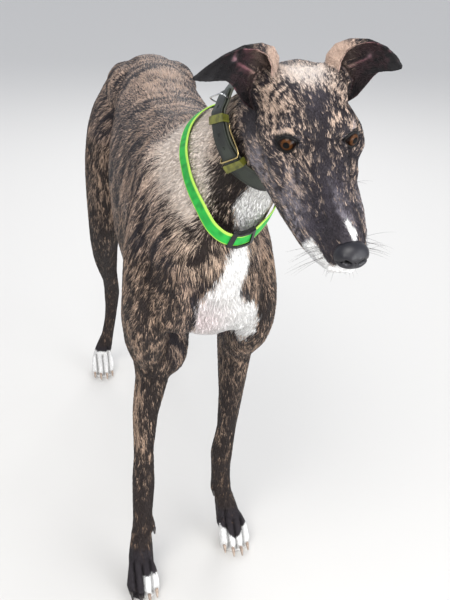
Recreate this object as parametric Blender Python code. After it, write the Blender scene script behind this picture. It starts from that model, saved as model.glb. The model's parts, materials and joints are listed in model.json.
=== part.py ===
"""A life-size greyhound standing with its head lowered, and the two collars that it wears.

Metres, +Z up. The dog faces -Y, its left side is +X, and the floor is z = 0. The flesh is modelled whole, from
lofts and swellings that a voxel remesh joins, and is then parted with thin cuts into the pieces that a person
would name.
"""

import itertools
import math

import bmesh
import bpy
import numpy as np
from mathutils import Euler, Matrix, Vector
from mathutils.bvhtree import BVHTree

# ---- driving dimensions ----
HEAD_PLACE = Vector((0.079, -0.298, 0.748))  # midway between the eyes
HEAD_PITCH = math.radians(27)  # nose down
HEAD_YAW = math.radians(2)  # nose to the dog's left
HEAD_ROLL = math.radians(-2)  # left ear up
EYE_RADIUS = 0.0112
EYE_PLACE = Vector((0.0300, -0.0010, -0.0030))  # centre of the left eyeball, from midway between the eyes
EYE_OUTWARD = math.radians(28)
EYE_UPWARD = math.radians(12)
LID_RADIUS = 0.0134
LID_OPENING = (0.0135, 0.0100, 0.0085)
DEWCLAW_ROOTS = {"right": Vector((-0.0590, -0.0330, 0.092)), "left": Vector((0.0455, 0.0450, 0.092))}
FORE_PAWS = {"right": Vector((-0.080, -0.046, 0)), "left": Vector((0.076, 0.036, 0))}
HIND_PAWS = {"right": Vector((-0.086, 0.648, 0)), "left": Vector((0.082, 0.730, 0))}
SIDES = {"right": -1, "left": 1}

CUT = 0.0004  # width of the cuts that part the pieces
WELD = 0.00003
VOXEL = 0.0035  # of the remesh that joins the flesh
FINE_SOFTENING = 6  # passes of smoothing over the whole of the joined flesh
BROAD_SOFTENING = 16  # further passes over all but the head and the paws
FLESH_TRIANGLES = 3200
FINE_SHARE = 0.9  # how far the thinning spares the head and the paws, where 1 would leave them whole
FINE_FACTOR = 0.01  # weight of that sparing in the thinning
RING_POINTS = 20
SHARP_ANGLE = math.radians(50)
STEPS = 4  # rings between two stations of a loft

# Each station of a loft is x, y, z of its centre, half its width, and its reach on the belly side and on the
# back side.
TRUNK = (
    (0, -0.188, 0.512, 0.022, 0.030, 0.032),
    (0, -0.166, 0.520, 0.052, 0.064, 0.064),
    (0, -0.120, 0.538, 0.072, 0.085, 0.098),
    (0, -0.060, 0.550, 0.080, 0.124, 0.140),
    (0, 0.000, 0.557, 0.085, 0.162, 0.147),
    (0, 0.080, 0.560, 0.090, 0.190, 0.138),
    (0, 0.160, 0.565, 0.093, 0.188, 0.131),
    (0, 0.240, 0.577, 0.088, 0.164, 0.128),
    (0, 0.310, 0.595, 0.077, 0.128, 0.125),
    (0, 0.370, 0.610, 0.067, 0.100, 0.111),
    (0, 0.430, 0.614, 0.066, 0.094, 0.098),
    (0, 0.490, 0.604, 0.066, 0.086, 0.080),
    (0, 0.535, 0.590, 0.052, 0.068, 0.054),
    (0, 0.558, 0.585, 0.026, 0.036, 0.026),
)
NECK = (
    (0.076, -0.234, 0.750, 0.042, 0.037, 0.048),
    (0.062, -0.203, 0.736, 0.047, 0.043, 0.054),
    (0.049, -0.163, 0.710, 0.053, 0.058, 0.058),
    (0.035, -0.121, 0.682, 0.060, 0.085, 0.063),
    (0.020, -0.080, 0.653, 0.066, 0.112, 0.071),
    (0.007, -0.036, 0.625, 0.071, 0.126, 0.083),
    (0.000, 0.020, 0.598, 0.074, 0.128, 0.090),
)
TAIL = (
    (0, 0.535, 0.622, 0.024, 0.024, 0.020),
    (0, 0.572, 0.585, 0.018, 0.019, 0.016),
    (0, 0.598, 0.520, 0.014, 0.015, 0.013),
    (0, 0.604, 0.430, 0.0115, 0.012, 0.011),
    (0, 0.600, 0.340, 0.0095, 0.010, 0.009),
    (0, 0.604, 0.265, 0.0080, 0.008, 0.008),
    (0, 0.622, 0.212, 0.0062, 0.0062, 0.0062),
    (0, 0.652, 0.190, 0.0040, 0.0040, 0.0040),
)
# The limbs are given for the left side, standing square. Their feet are then brought to the paws' places.
FORE_LIMB = (
    (0.034, 0.018, 0.668, 0.016, 0.030, 0.036),
    (0.054, -0.014, 0.620, 0.023, 0.046, 0.052),
    (0.064, -0.050, 0.565, 0.028, 0.055, 0.060),
    (0.069, -0.078, 0.510, 0.031, 0.054, 0.060),
    (0.070, -0.078, 0.462, 0.032, 0.052, 0.060),
    (0.068, -0.052, 0.422, 0.031, 0.046, 0.054),
    (0.066, -0.028, 0.384, 0.028, 0.036, 0.044),
    (0.066, -0.022, 0.340, 0.024, 0.028, 0.031),
    (0.066, -0.022, 0.285, 0.020, 0.023, 0.024),
    (0.067, -0.024, 0.220, 0.0162, 0.018, 0.019),
    (0.068, -0.026, 0.170, 0.0182, 0.019, 0.021),
    (0.069, -0.028, 0.135, 0.0168, 0.016, 0.019),
    (0.071, -0.032, 0.090, 0.0160, 0.015, 0.016),
    (0.074, -0.040, 0.050, 0.0185, 0.018, 0.017),
    (0.075, -0.050, 0.026, 0.0210, 0.020, 0.020),
)
HIND_LIMB = (
    (0.040, 0.462, 0.650, 0.034, 0.050, 0.044),
    (0.056, 0.448, 0.600, 0.045, 0.078, 0.074),
    (0.069, 0.436, 0.540, 0.043, 0.080, 0.088),
    (0.076, 0.426, 0.478, 0.037, 0.066, 0.084),
    (0.079, 0.424, 0.424, 0.031, 0.049, 0.064),
    (0.079, 0.448, 0.366, 0.027, 0.037, 0.043),
    (0.073, 0.490, 0.306, 0.0220, 0.027, 0.029),
    (0.062, 0.534, 0.248, 0.0165, 0.020, 0.021),
    (0.056, 0.566, 0.200, 0.0165, 0.019, 0.024),
    (0.057, 0.580, 0.150, 0.0135, 0.016, 0.017),
    (0.063, 0.590, 0.092, 0.0135, 0.015, 0.015),
    (0.072, 0.596, 0.050, 0.0175, 0.017, 0.017),
    (0.077, 0.592, 0.026, 0.0195, 0.020, 0.020),
)
LIMBS = {
    "fore": {"stations": FORE_LIMB, "paws": FORE_PAWS, "heel": 0.010, "moves_below": 0.50},
    "hind": {"stations": HIND_LIMB, "paws": HIND_PAWS, "heel": 0.012, "moves_below": 0.62},
}
# How far each foreleg bends towards the body's middle at the elbow and the wrist, and the levels of those
# joints.
TUCK = {"right": {"elbow": 0.012, "wrist": 0.0}, "left": {"elbow": 0.0, "wrist": 0.013}}
TUCK_LEVELS = {"elbow": 0.355, "wrist": 0.130}
TUCK_SPREAD = {"elbow": 0.055, "wrist": 0.090}
# In the head's own frame: origin midway between the eyes, nose towards -Y, and the bridge of the muzzle nearly
# level.
CRANIUM = (
    (0, -0.1360, -0.025, 0.0120, 0.0110, 0.0100),
    (0, -0.1220, -0.024, 0.0165, 0.0180, 0.0165),
    (0, -0.0950, -0.024, 0.0185, 0.0220, 0.0200),
    (0, -0.0650, -0.024, 0.0205, 0.0260, 0.0240),
    (0, -0.0350, -0.023, 0.0275, 0.0300, 0.0290),
    (0, -0.0100, -0.021, 0.0370, 0.0340, 0.0350),
    (0, 0.0150, -0.017, 0.0430, 0.0380, 0.0430),
    (0, 0.0450, -0.015, 0.0470, 0.0430, 0.0470),
    (0, 0.0750, -0.015, 0.0430, 0.0430, 0.0430),
    (0, 0.1000, -0.012, 0.0320, 0.0340, 0.0310),
    (0, 0.1120, -0.012, 0.0160, 0.0170, 0.0160),
)
JAW = (
    (0, -0.1310, -0.0455, 0.0140, 0.0120, 0.012),
    (0, -0.1200, -0.0470, 0.0245, 0.0185, 0.016),
    (0, -0.0900, -0.0490, 0.0350, 0.0265, 0.024),
    (0, -0.0550, -0.0520, 0.0410, 0.0325, 0.028),
    (0, -0.0150, -0.0545, 0.0465, 0.0380, 0.030),
    (0, 0.0200, -0.0530, 0.0530, 0.0440, 0.030),
    (0, 0.0550, -0.0490, 0.0560, 0.0460, 0.030),
    (0, 0.0850, -0.0370, 0.0440, 0.0380, 0.028),
)
# Rows across the left ear, from its root to near its tip: its outer margin, the ridge of its back and its inner
# margin.
EAR_ROWS = (
    ((0.042, 0.068, -0.027), (0.022, 0.094, -0.004), (0.033, 0.062, 0.004)),
    ((0.061, 0.062, -0.006), (0.018, 0.096, 0.018), (0.035, 0.062, 0.023)),
    ((0.069, 0.060, 0.010), (0.018, 0.095, 0.032), (0.036, 0.064, 0.037)),
    ((0.074, 0.058, 0.021), (0.026, 0.090, 0.046), (0.041, 0.065, 0.049)),
    ((0.079, 0.057, 0.027), (0.041, 0.083, 0.053), (0.052, 0.063, 0.058)),
    ((0.086, 0.054, 0.030), (0.060, 0.072, 0.055), (0.067, 0.059, 0.062)),
    ((0.094, 0.051, 0.032), (0.079, 0.060, 0.052), (0.083, 0.054, 0.058)),
    ((0.102, 0.050, 0.034), (0.096, 0.053, 0.047), (0.097, 0.051, 0.048)),
    ((0.107, 0.049, 0.036), (0.107, 0.050, 0.039), (0.107, 0.049, 0.039)),
)
EAR_STRETCH = {"right": 0.11, "left": -0.11}  # how much further out than the rows each ear's tip reaches
EAR_THICKNESS = 0.003
EAR_ACROSS = 8  # strips across an ear
EAR_BULGE = 0.62  # of the rows' ridges, that the backs of the ears reach
EAR_WELD = 0.0008  # points of an ear's tip closer than this are joined
NOSE_PLACE = Vector((0, -0.1345, -0.0265))
NOSE_RADII = (0.0170, 0.0130, 0.0145)
# Where the flesh is parted. A limb's box runs from x to x on the left side, from y to y and from z to z.
SPAN = 0.4  # beyond the flesh
JAW_LEVEL = -0.0450
JAW_BACK = 0.030
JAW_DEPTH = 0.080
HEAD_CUT = ((0.060, -0.200, 0.742), (-0.20, 0.76, -0.61))
NECK_CUT = ((0.020, -0.080, 0.653), (-0.15, 0.70, -0.70))
NECK_DEPTH = 0.30
TAIL_HALF = 0.030
TAIL_FRONT = 0.566
TAIL_DIVIDE = 0.400
TAIL_TOP = 0.620
TAIL_LOW = 0.02
BELLY_LOW = 0.10  # below the whole trunk
FORE_PAW_BOX = (0.010, 0.200, -0.200, 0.200, -0.010, 0.060)
FORE_PASTERN_BOX = (0.010, 0.200, -0.200, 0.200, 0.000, 0.165)
FOREARM_BOX = (0.028, 0.200, -0.200, 0.060, 0.100, 0.398)
UPPER_ARM_BOX = (0.040, 0.200, -0.200, 0.105, 0.300, 0.560)
HIND_PAW_BOX = (0.010, 0.200, 0.400, 0.900, -0.010, 0.060)
HIND_PASTERN_BOX = (0.010, 0.200, 0.400, 0.900, 0.000, 0.235)
SHANK_BOX = (0.028, 0.200, 0.300, 0.900, 0.100, 0.395)
THIGH_BOX = (0.012, 0.200, 0.345, 0.900, 0.300, 0.575)
CHEST_BACK = 0.215
LOIN_BACK = 0.400
# Each collar's course: the angle of its buckle or slide from the nape towards the right, a point inside the
# neck, the way the loop faces, how many half widths from its middle the strap is kept off the coat, its width,
# how far it stands off the coat, and where it is lifted further: an angle, a spread in radians and a height.
STRAP_STEP = 8  # degrees
TIGHTENING = 300  # passes that pull a strap tight
SETTLING = 12  # passes that raise it off the coat
LAYER_GAP = 0.0003
LEATHER_COURSE = {
    "start": math.radians(97),
    "centre": (0.056, -0.186, 0.7255),
    "facing": (-0.294, 0.890, -0.348),
    "edge_reach": 1.0,
    "width": 0.025,
    "gap": 0.0022,
    "lifts": ((math.radians(22), 0.9, 0.017), (math.radians(97), 0.5, 0.0018)),
}
LEATHER_THICKNESS = 0.0026
BUCKLE_LENGTH = 0.036
BUCKLE_BAR_SHARE = 0.7  # of the strap's half width, that the straight part of the buckle's bars reaches
WIRE_RADIUS = 0.0011
TONGUE_INSET = 0.0010
TONGUE_LENGTHS = (-0.054, 0.026)
KEEPER_LENGTHS = (-0.0275, -0.0200)
END_KEEPER_LENGTHS = (0.0215, 0.0290)
KEEPER_WALL = 0.0013
RING_LENGTH = -0.044
RING_HEIGHT = 0.0120
RING_CORNERS = 12
RING_SQUARENESS = (1.25, 1.6)  # across and up: how far past its straight sides the ring's oval would reach
NYLON_COURSE = {
    "start": math.radians(172),
    "centre": (0.030, -0.118, 0.678),
    "facing": (-0.213, 0.804, -0.556),
    "edge_reach": 1.3,
    "width": 0.017,
    "gap": 0.0014,
    "lifts": ((math.radians(172), 0.6, 0.0034),),
}
NYLON_THICKNESS = 0.0016
SLIDE_LENGTHS = (-0.015, 0.015)
SLIDE_WALL = 0.0017
SLIDE_PLAY = 0.0009
SLIDE_BAR = 0.005
SLIDE_RIM = 0.0006
SLIDE_WINDOW_TOP = 0.0064


# ---- mesh helpers ----
def clear_scene():
    for obj in list(bpy.data.objects):
        bpy.data.objects.remove(obj)


def material(name, colour, roughness, metallic=0.0):
    """A Principled material. The same name gives the same material again."""
    made = bpy.data.materials.get(name) or bpy.data.materials.new(name)
    made.use_nodes = True
    shader = made.node_tree.nodes["Principled BSDF"]
    shader.inputs["Base Color"].default_value = (*colour, 1)
    shader.inputs["Roughness"].default_value = roughness
    shader.inputs["Metallic"].default_value = metallic
    return made


def add_object(name, bm, surface=None):
    """A new object in the scene from a bmesh, with its faces pointing out."""
    bmesh.ops.recalc_face_normals(bm, faces=bm.faces)
    mesh = bpy.data.meshes.new(name)
    bm.to_mesh(mesh)
    bm.free()
    obj = bpy.data.objects.new(name, mesh)
    bpy.context.scene.collection.objects.link(obj)
    if surface:
        mesh.materials.append(surface)
    return obj


def apply_modifiers(obj):
    """Makes the evaluated mesh the object's own, and drops its modifiers."""
    bpy.context.view_layer.update()
    mesh = bpy.data.meshes.new_from_object(obj.evaluated_get(bpy.context.evaluated_depsgraph_get()))
    obj.modifiers.clear()
    obj.data = mesh


def copy_object(obj, name):
    copied = bpy.data.objects.new(name, obj.data.copy())
    bpy.context.scene.collection.objects.link(copied)
    return copied


def boolean(obj, cutter, operation, drop_cutter=True):
    """Cuts or keeps what the cutter covers, at once."""
    change = obj.modifiers.new(operation, "BOOLEAN")
    change.operation = operation
    change.solver = "EXACT"
    change.object = cutter
    apply_modifiers(obj)
    weld(obj)
    if drop_cutter:
        bpy.data.objects.remove(cutter)


def weld(obj):
    """Joins the points that a cut leaves closer together than any real edge."""
    bm = bmesh.new()
    bm.from_mesh(obj.data)
    bmesh.ops.remove_doubles(bm, verts=bm.verts, dist=WELD)
    bmesh.ops.dissolve_degenerate(bm, dist=WELD, edges=bm.edges)
    bm.to_mesh(obj.data)
    bm.free()


def box_object(low, high, place=Matrix(), grow=0.0):
    """A box between two corners of a frame, grown on every side."""
    bm = bmesh.new()
    bmesh.ops.create_cube(bm, size=1)
    spread = Vector(high) - Vector(low) + Vector((2 * grow,) * 3)
    bmesh.ops.scale(bm, vec=spread, verts=bm.verts)
    bmesh.ops.translate(bm, vec=(Vector(low) + Vector(high)) / 2, verts=bm.verts)
    bmesh.ops.transform(bm, matrix=place, verts=bm.verts)
    return add_object("cutter", bm)


def globe(bm, centre, radii, place=Matrix(), turn=Matrix(), meridians=14, rings=8):
    """An ellipsoid of meridians and rings."""
    shape = place @ Matrix.Translation(centre) @ turn @ Matrix.Diagonal((*radii, 1))
    bmesh.ops.create_uvsphere(bm, u_segments=meridians, v_segments=rings, radius=1, matrix=shape)


def loose_bodies(bm):
    """The sets of vertices that edges join."""
    bodies = []
    waiting = set(bm.verts)
    while waiting:
        body = {waiting.pop()}
        rim = list(body)
        while rim:
            vert = rim.pop()
            near = {edge.other_vert(vert) for edge in vert.link_edges} & waiting
            waiting -= near
            body |= near
            rim.extend(near)
        bodies.append(body)
    return bodies


def keep_body(obj, rank):
    """Drops all but the one loose body whose vertices rank first."""
    bm = bmesh.new()
    bm.from_mesh(obj.data)
    keep = min(loose_bodies(bm), key=lambda body: min(rank(vert.co) for vert in body))
    bmesh.ops.delete(bm, geom=[vert for vert in bm.verts if vert not in keep], context="VERTS")
    bm.to_mesh(obj.data)
    bm.free()


def keep_largest(obj):
    """Drops the slivers that a cut leaves beside a piece."""
    bm = bmesh.new()
    bm.from_mesh(obj.data)
    keep = max(loose_bodies(bm), key=len)
    bmesh.ops.delete(bm, geom=[vert for vert in bm.verts if vert not in keep], context="VERTS")
    bm.to_mesh(obj.data)
    bm.free()


def between_stations(stations, steps=STEPS):
    """A Catmull-Rom curve through the stations, so that a loft bends and swells smoothly."""
    rows = np.array(stations, float)
    rows = np.concatenate([[2 * rows[0] - rows[1]], rows, [2 * rows[-1] - rows[-2]]])
    found = []
    for i in range(1, len(rows) - 2):
        a, b, c, d = rows[i - 1 : i + 3]
        for t in np.arange(steps) / steps:
            found.append(b + 0.5 * t * (c - a + t * (2 * a - 5 * b + 4 * c - d + t * (3 * (b - c) + d - a))))
    return np.array(found + [rows[-2]])


def loft(bm, stations, place=Matrix(), squareness=2.0, sides=RING_POINTS, steps=STEPS):
    """A closed tube of oval rings. Each ring is square to the path, with its width near X."""
    rows = between_stations(stations, steps)
    along = np.gradient(rows[:, :3], axis=0)
    rings = []
    for row, heading in zip(rows, along):
        heading = Vector(heading).normalized()
        across = (Vector((1, 0, 0)) - heading * heading.x).normalized()
        belly = heading.cross(across)
        ring = []
        for k in range(sides):
            angle = 2 * math.pi * k / sides
            wide, deep = (
                math.copysign(abs(f(angle)) ** (2 / squareness), f(angle)) for f in (math.cos, math.sin)
            )
            reach = row[4] if deep > 0 else row[5]
            point = Vector(row[:3]) + across * (wide * row[3]) + belly * (deep * reach)
            ring.append(bm.verts.new(place @ point))
        rings.append(ring)
    for near, far in zip(rings, rings[1:]):
        for k in range(sides):
            after = (k + 1) % sides
            bm.faces.new((near[k], near[after], far[after], far[k]))
    bm.faces.new(rings[0][::-1])
    bm.faces.new(rings[-1])


def swelling(bm, centre, radii, place=Matrix(), turn=(0, 0, 0)):
    """An ellipsoid, for a muscle, a cheek, a pad or a knuckle."""
    rotate = Euler(turn).to_matrix().to_4x4()
    shape = place @ Matrix.Translation(centre) @ rotate @ Matrix.Diagonal((*radii, 1))
    bmesh.ops.create_icosphere(bm, subdivisions=3, radius=1, matrix=shape)


def on_side(stations, side):
    """The same stations on the dog's left (1) or right (-1)."""
    return [(row[0] * side, *row[1:]) for row in stations]


def stepped(stations, paw, top, side, tuck):
    """The limb's stations, sheared below `top` so that its foot comes to the paw's place, and tucked in at its
    joints."""
    foot = stations[-1]
    moved = []
    for x, y, z, *sizes in stations:
        share = min(1.0, max(0.0, (top - z) / (top - foot[2])))
        inward = sum(
            tuck[joint] * math.exp(-(((z - TUCK_LEVELS[joint]) / TUCK_SPREAD[joint]) ** 2)) for joint in tuck
        )
        place = (x + share * (paw[0] - foot[0]) - side * inward, y + share * (paw[1] - foot[1]), z)
        moved.append((*place, *sizes))
    return moved


HEAD = (
    Matrix.Translation(HEAD_PLACE)
    @ Matrix.Rotation(HEAD_YAW, 4, "Z")
    @ Matrix.Rotation(HEAD_PITCH, 4, "X")
    @ Matrix.Rotation(HEAD_ROLL, 4, "Y")
)

# ---- paws ----
TOE_SPREAD = {"inner": -0.0175, "mid_inner": -0.0062, "mid_outer": 0.0062, "outer": 0.0175}
TOE_REACH = {"inner": 0.026, "mid_inner": 0.037, "mid_outer": 0.037, "outer": 0.026}
TOE_HALF_WIDTH = 0.0078
CLAW_LENGTH = 0.0095
CLAW_RADIUS = 0.0031
CLAW_DROP = 0.0078
CLAW_LEVEL = 0.0115  # of a claw's root
CLAW_SIDES = 6
DEWCLAW_SCALE = 0.8
# Stations of a claw: its share of the length and of the radius, and its share of the drop.
CLAW_STATIONS = ((-0.35, 1.0, 0.0), (0.20, 0.96, -0.02), (0.62, 0.74, -0.32), (1.0, 0.36, -1.0))


def toe_stations(paw, side, toe):
    """A toe from its root in the paw over its knuckle to its tip, beside the paw's centre."""
    spread = TOE_SPREAD[toe] * side
    reach = TOE_REACH[toe]
    w = TOE_HALF_WIDTH
    rows = (
        (spread * 0.55, 0.018, 0.036, w, 0.010, 0.010),
        (spread * 0.85, -0.1 * reach, 0.031, w, 0.010, 0.009),
        (spread * 1.0, -0.6 * reach, 0.021, w, 0.009, 0.009),
        (spread * 1.05, -0.95 * reach, 0.0105, w * 0.85, 0.007, 0.007),
    )
    return [(paw.x + x, paw.y + y, z, a, b, c) for x, y, z, a, b, c in rows]


def add_paw(bm, paw, side):
    for toe in TOE_SPREAD:
        loft(bm, toe_stations(paw, side, toe))
        tip = TOE_SPREAD[toe] * side * 1.02
        swelling(bm, (paw.x + tip, paw.y - TOE_REACH[toe] * 0.72, 0.0050), (0.0068, 0.0110, 0.0095))
    swelling(bm, (paw.x, paw.y + 0.008, 0.0070), (0.0185, 0.0160, 0.0125))
    swelling(bm, (paw.x, paw.y + 0.010, 0.0260), (0.0200, 0.0200, 0.0160))


def claw_stations(root, length, drop):
    """A claw that leaves its root forwards and curves down to a blunt end."""
    return [
        (root.x, root.y - share * length, root.z + fall * drop, *([CLAW_RADIUS * thick] * 3))
        for share, thick, fall in CLAW_STATIONS
    ]


def make_claws(clearance):
    """Four claws to a paw, and a dewclaw above each fore paw."""
    horn = material("claw", (0.030, 0.026, 0.024), 0.35)
    for pair, name in itertools.product(LIMBS, SIDES):
        paw = LIMBS[pair]["paws"][name]
        roots = {}
        for toe, spread in TOE_SPREAD.items():
            place = Vector((spread * 1.05 * SIDES[name], -TOE_REACH[toe] - 0.003, CLAW_LEVEL))
            roots[toe] = (paw + place, 1.0)
        if pair == "fore":
            roots["dew"] = (DEWCLAW_ROOTS[name], DEWCLAW_SCALE)
        for toe, (root, scale) in roots.items():
            bm = bmesh.new()
            stations = claw_stations(root, CLAW_LENGTH * scale, CLAW_DROP * scale)
            loft(bm, stations, sides=CLAW_SIDES, steps=1)
            claw = add_object(f"claw_{pair}_{name}_{toe}", bm, horn)
            boolean(claw, clearance, "DIFFERENCE", drop_cutter=False)
            keep_body(claw, lambda place: place.y)


# ---- flesh ----
def build_flesh():
    """The whole body without ears, as one smooth closed mesh."""
    bm = bmesh.new()
    loft(bm, TRUNK, squareness=2.15)
    loft(bm, NECK)
    loft(bm, TAIL)
    loft(bm, CRANIUM, HEAD, squareness=2.2)
    loft(bm, JAW, HEAD)
    swelling(bm, (0, 0.11, 0.448), (0.050, 0.15, 0.076))  # breastbone and its muscles
    swelling(bm, (0, -0.130, 0.512), (0.050, 0.058, 0.050))  # forechest
    swelling(bm, (-0.038, -0.020, 0.398), (0.034, 0.046, 0.054))  # pectoral fold behind the right foreleg
    for name, side in SIDES.items():
        add_head_muscles(bm, side)
        add_body_muscles(bm, side)
        swelling(bm, DEWCLAW_ROOTS[name] + Vector((0.001 * side, 0.006, 0)), (0.007, 0.010, 0.010))
        for pair, limb in LIMBS.items():
            paw = limb["paws"][name]
            foot = paw + Vector((0, limb["heel"], 0))
            tuck = TUCK[name] if pair == "fore" else {}
            loft(bm, stepped(on_side(limb["stations"], side), foot, limb["moves_below"], side, tuck))
            add_paw(bm, paw, side)
    body = add_object("flesh", bm)
    remesh = body.modifiers.new("join", "REMESH")
    remesh.mode = "VOXEL"
    remesh.voxel_size = VOXEL
    apply_modifiers(body)
    soften(body)
    return body


def add_head_muscles(bm, side):
    swelling(bm, (0.0415 * side, 0.0200, -0.0140), (0.0130, 0.0440, 0.0150), HEAD)  # cheekbone
    swelling(bm, (0.0390 * side, 0.0480, -0.0480), (0.0200, 0.0370, 0.0340), HEAD)  # masseter
    swelling(bm, (0.0330 * side, 0.0000, -0.0350), (0.0135, 0.0350, 0.0200), HEAD)  # cheek below the eye
    swelling(bm, (0.0240 * side, 0.0080, 0.0120), (0.0150, 0.0200, 0.0110), HEAD)  # brow
    swelling(bm, (0.0200 * side, 0.0560, 0.0130), (0.0240, 0.0360, 0.0180), HEAD)  # temple
    swelling(bm, (0.0340 * side, 0.0740, 0.0000), (0.0200, 0.0240, 0.0240), HEAD)  # root of the ear
    swelling(bm, (0.0110 * side, -0.1080, -0.0340), (0.0115, 0.0280, 0.0150), HEAD)  # lip and whisker pad
    swelling(bm, (EYE_PLACE.x * side, EYE_PLACE.y, EYE_PLACE.z), (LID_RADIUS,) * 3, HEAD)  # lids


def add_body_muscles(bm, side):
    swelling(bm, (0.020 * side, 0.340, 0.668), (0.036, 0.150, 0.038))  # loin
    swelling(bm, (0.041 * side, 0.400, 0.660), (0.035, 0.080, 0.044))  # hip bone
    swelling(bm, (0.034 * side, 0.468, 0.630), (0.044, 0.072, 0.054), turn=(-0.3, 0, 0))  # croup
    swelling(bm, (0.048 * side, -0.020, 0.600), (0.034, 0.056, 0.090), turn=(0.5, 0, 0))  # shoulder blade
    swelling(bm, (0.056 * side, 0.010, 0.490), (0.034, 0.078, 0.088))  # triceps
    swelling(bm, (0.034 * side, -0.114, 0.516), (0.040, 0.056, 0.062))  # breast muscle


def fineness(point):
    """1 on the head and the paws, where the forms are small, and 0 on the rest of the body."""
    local = HEAD.inverted() @ point
    head = min(1.0, max(0.0, (0.125 - local.y) / 0.03)) if local.length < 0.2 else 0.0
    paw = min(1.0, max(0.0, (0.075 - point.z) / 0.03))
    return max(head, paw)


def soften(body):
    """Smooths the joined flesh: a little on the head and the paws, and more elsewhere."""
    broad = body.vertex_groups.new(name="broad")
    for vert in body.data.vertices:
        broad.add([vert.index], 1.0 - fineness(vert.co), "REPLACE")
    everywhere = body.modifiers.new("soften", "SMOOTH")
    everywhere.factor = 0.5
    everywhere.iterations = FINE_SOFTENING
    more = body.modifiers.new("soften_more", "SMOOTH")
    more.factor = 0.5
    more.iterations = BROAD_SOFTENING
    more.vertex_group = broad.name
    apply_modifiers(body)


def flatten_soles(body):
    """Cuts the soles flat at the floor."""
    bm = bmesh.new()
    bm.from_mesh(body.data)
    everything = bm.verts[:] + bm.edges[:] + bm.faces[:]
    bmesh.ops.bisect_plane(bm, geom=everything, plane_co=(0, 0, 0), plane_no=(0, 0, -1), clear_outer=True)
    rims = [edge for edge in bm.edges if edge.is_boundary]
    bmesh.ops.holes_fill(bm, edges=rims, sides=0)
    bm.to_mesh(body.data)
    bm.free()


def thin_out(body):
    """Brings the flesh to its triangle budget, sparing the head and the paws."""
    body.vertex_groups.clear()
    fine = body.vertex_groups.new(name="fine")
    for vert in body.data.vertices:
        fine.add([vert.index], FINE_SHARE * fineness(vert.co), "REPLACE")
    fewer = body.modifiers.new("fewer", "DECIMATE")
    fewer.ratio = FLESH_TRIANGLES / sum(len(face.vertices) - 2 for face in body.data.polygons)
    fewer.vertex_group = fine.name
    fewer.invert_vertex_group = True
    fewer.vertex_group_factor = FINE_FACTOR
    fewer.use_collapse_triangulate = True
    apply_modifiers(body)
    body.vertex_groups.clear()
    keep_body(body, lambda place: place.z)


# ---- collars ----
class Strap:
    """A strap's course round the neck, lying on the coat. A place on it is an angle from the nape towards the
    right, a length along, a reach across and a height above its inner face."""

    def __init__(self, tree, start, centre, facing, edge_reach, width, gap, lifts):
        self.start = start
        self.centre = Vector(centre)
        self.half_width = width / 2
        self.edge_reach = edge_reach
        self.angles = np.radians(np.arange(0, 360, STRAP_STEP))
        facing = Vector(facing).normalized()
        up = (Vector((0, 0, 1)) - facing * facing.z).normalized()
        outward = [up * math.cos(angle) + up.cross(facing) * math.sin(angle) for angle in self.angles]
        reaches = pulled_tight([tree.ray_cast(self.centre, way)[3] for way in outward])
        path = smoothed([self.centre + way * reach for way, reach in zip(outward, reaches)], 3)
        upright = smoothed([tree.find_nearest(Vector(place))[1] for place in path], 4)
        along = np.roll(path, -1, axis=0) - np.roll(path, 1, axis=0)
        self.across = unit(np.cross(along, upright))
        self.across *= np.sign(self.across @ np.array(facing))[:, None]
        self.upright = unit(np.cross(self.across, along))
        self.upright *= np.sign((self.upright * (path - np.array(centre))).sum(axis=1))[:, None]
        for _ in range(SETTLING):
            path += self.upright * smoothed(self.sunk(tree, path, gap), 2)[:, None]
        for angle, spread, height in lifts:
            turned = (self.angles - angle + math.pi) % (2 * math.pi) - math.pi
            path += self.upright * (height * np.exp(-((turned / spread) ** 2)))[:, None]
        self.path = path

    def sunk(self, tree, path, gap):
        """How much less than the gap the strap's middle and places just past its edges stand off the coat."""
        depths = []
        for place, across in zip(path, self.across):
            shortfalls = [0.0]
            for share in (-self.edge_reach, 0, self.edge_reach):
                point = Vector(place + across * (share * self.half_width))
                near, normal, _, _ = tree.find_nearest(point)
                shortfalls.append(gap - (point - near).dot(normal))
            depths.append(max(shortfalls))
        return np.array(depths)

    def at(self, values, angle):
        """A value between those at the strap's angles."""
        columns = [np.interp(angle, self.angles, column, period=2 * math.pi) for column in values.T]
        return Vector([float(value) for value in columns])

    def place(self, angle, along, across, height):
        angle += along / (self.at(self.path, angle) - self.centre).length
        across = self.at(self.across, angle).normalized() * across
        return self.at(self.path, angle) + across + self.at(self.upright, angle).normalized() * height


def unit(rows):
    return rows / np.linalg.norm(rows, axis=1)[:, None]


def smoothed(values, passes):
    """Values round a loop, each brought towards its neighbours."""
    values = np.array(values, float)
    for _ in range(passes):
        values = (np.roll(values, 1, axis=0) + 2 * values + np.roll(values, -1, axis=0)) / 4
    return values


def pulled_tight(radii):
    """The radii of the tight loop round the same shape, which spans its hollows."""
    radii = np.array(radii)
    step = math.cos(math.radians(STRAP_STEP))
    for _ in range(TIGHTENING):
        before, after = np.roll(radii, 1), np.roll(radii, -1)
        radii = np.maximum(radii, 2 * step * before * after / (before + after))
    return radii


def strap_ring(bm, strap, thickness):
    """The whole loop of a strap."""
    wide = strap.half_width
    rings = []
    for angle in strap.angles:
        corners = ((-wide, 0), (wide, 0), (wide, thickness), (-wide, thickness))
        rings.append([bm.verts.new(strap.place(angle, 0, across, height)) for across, height in corners])
    for near, far in zip(rings, rings[1:] + rings[:1]):
        for k in range(4):
            bm.faces.new((near[k], near[(k + 1) % 4], far[(k + 1) % 4], far[k]))


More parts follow.
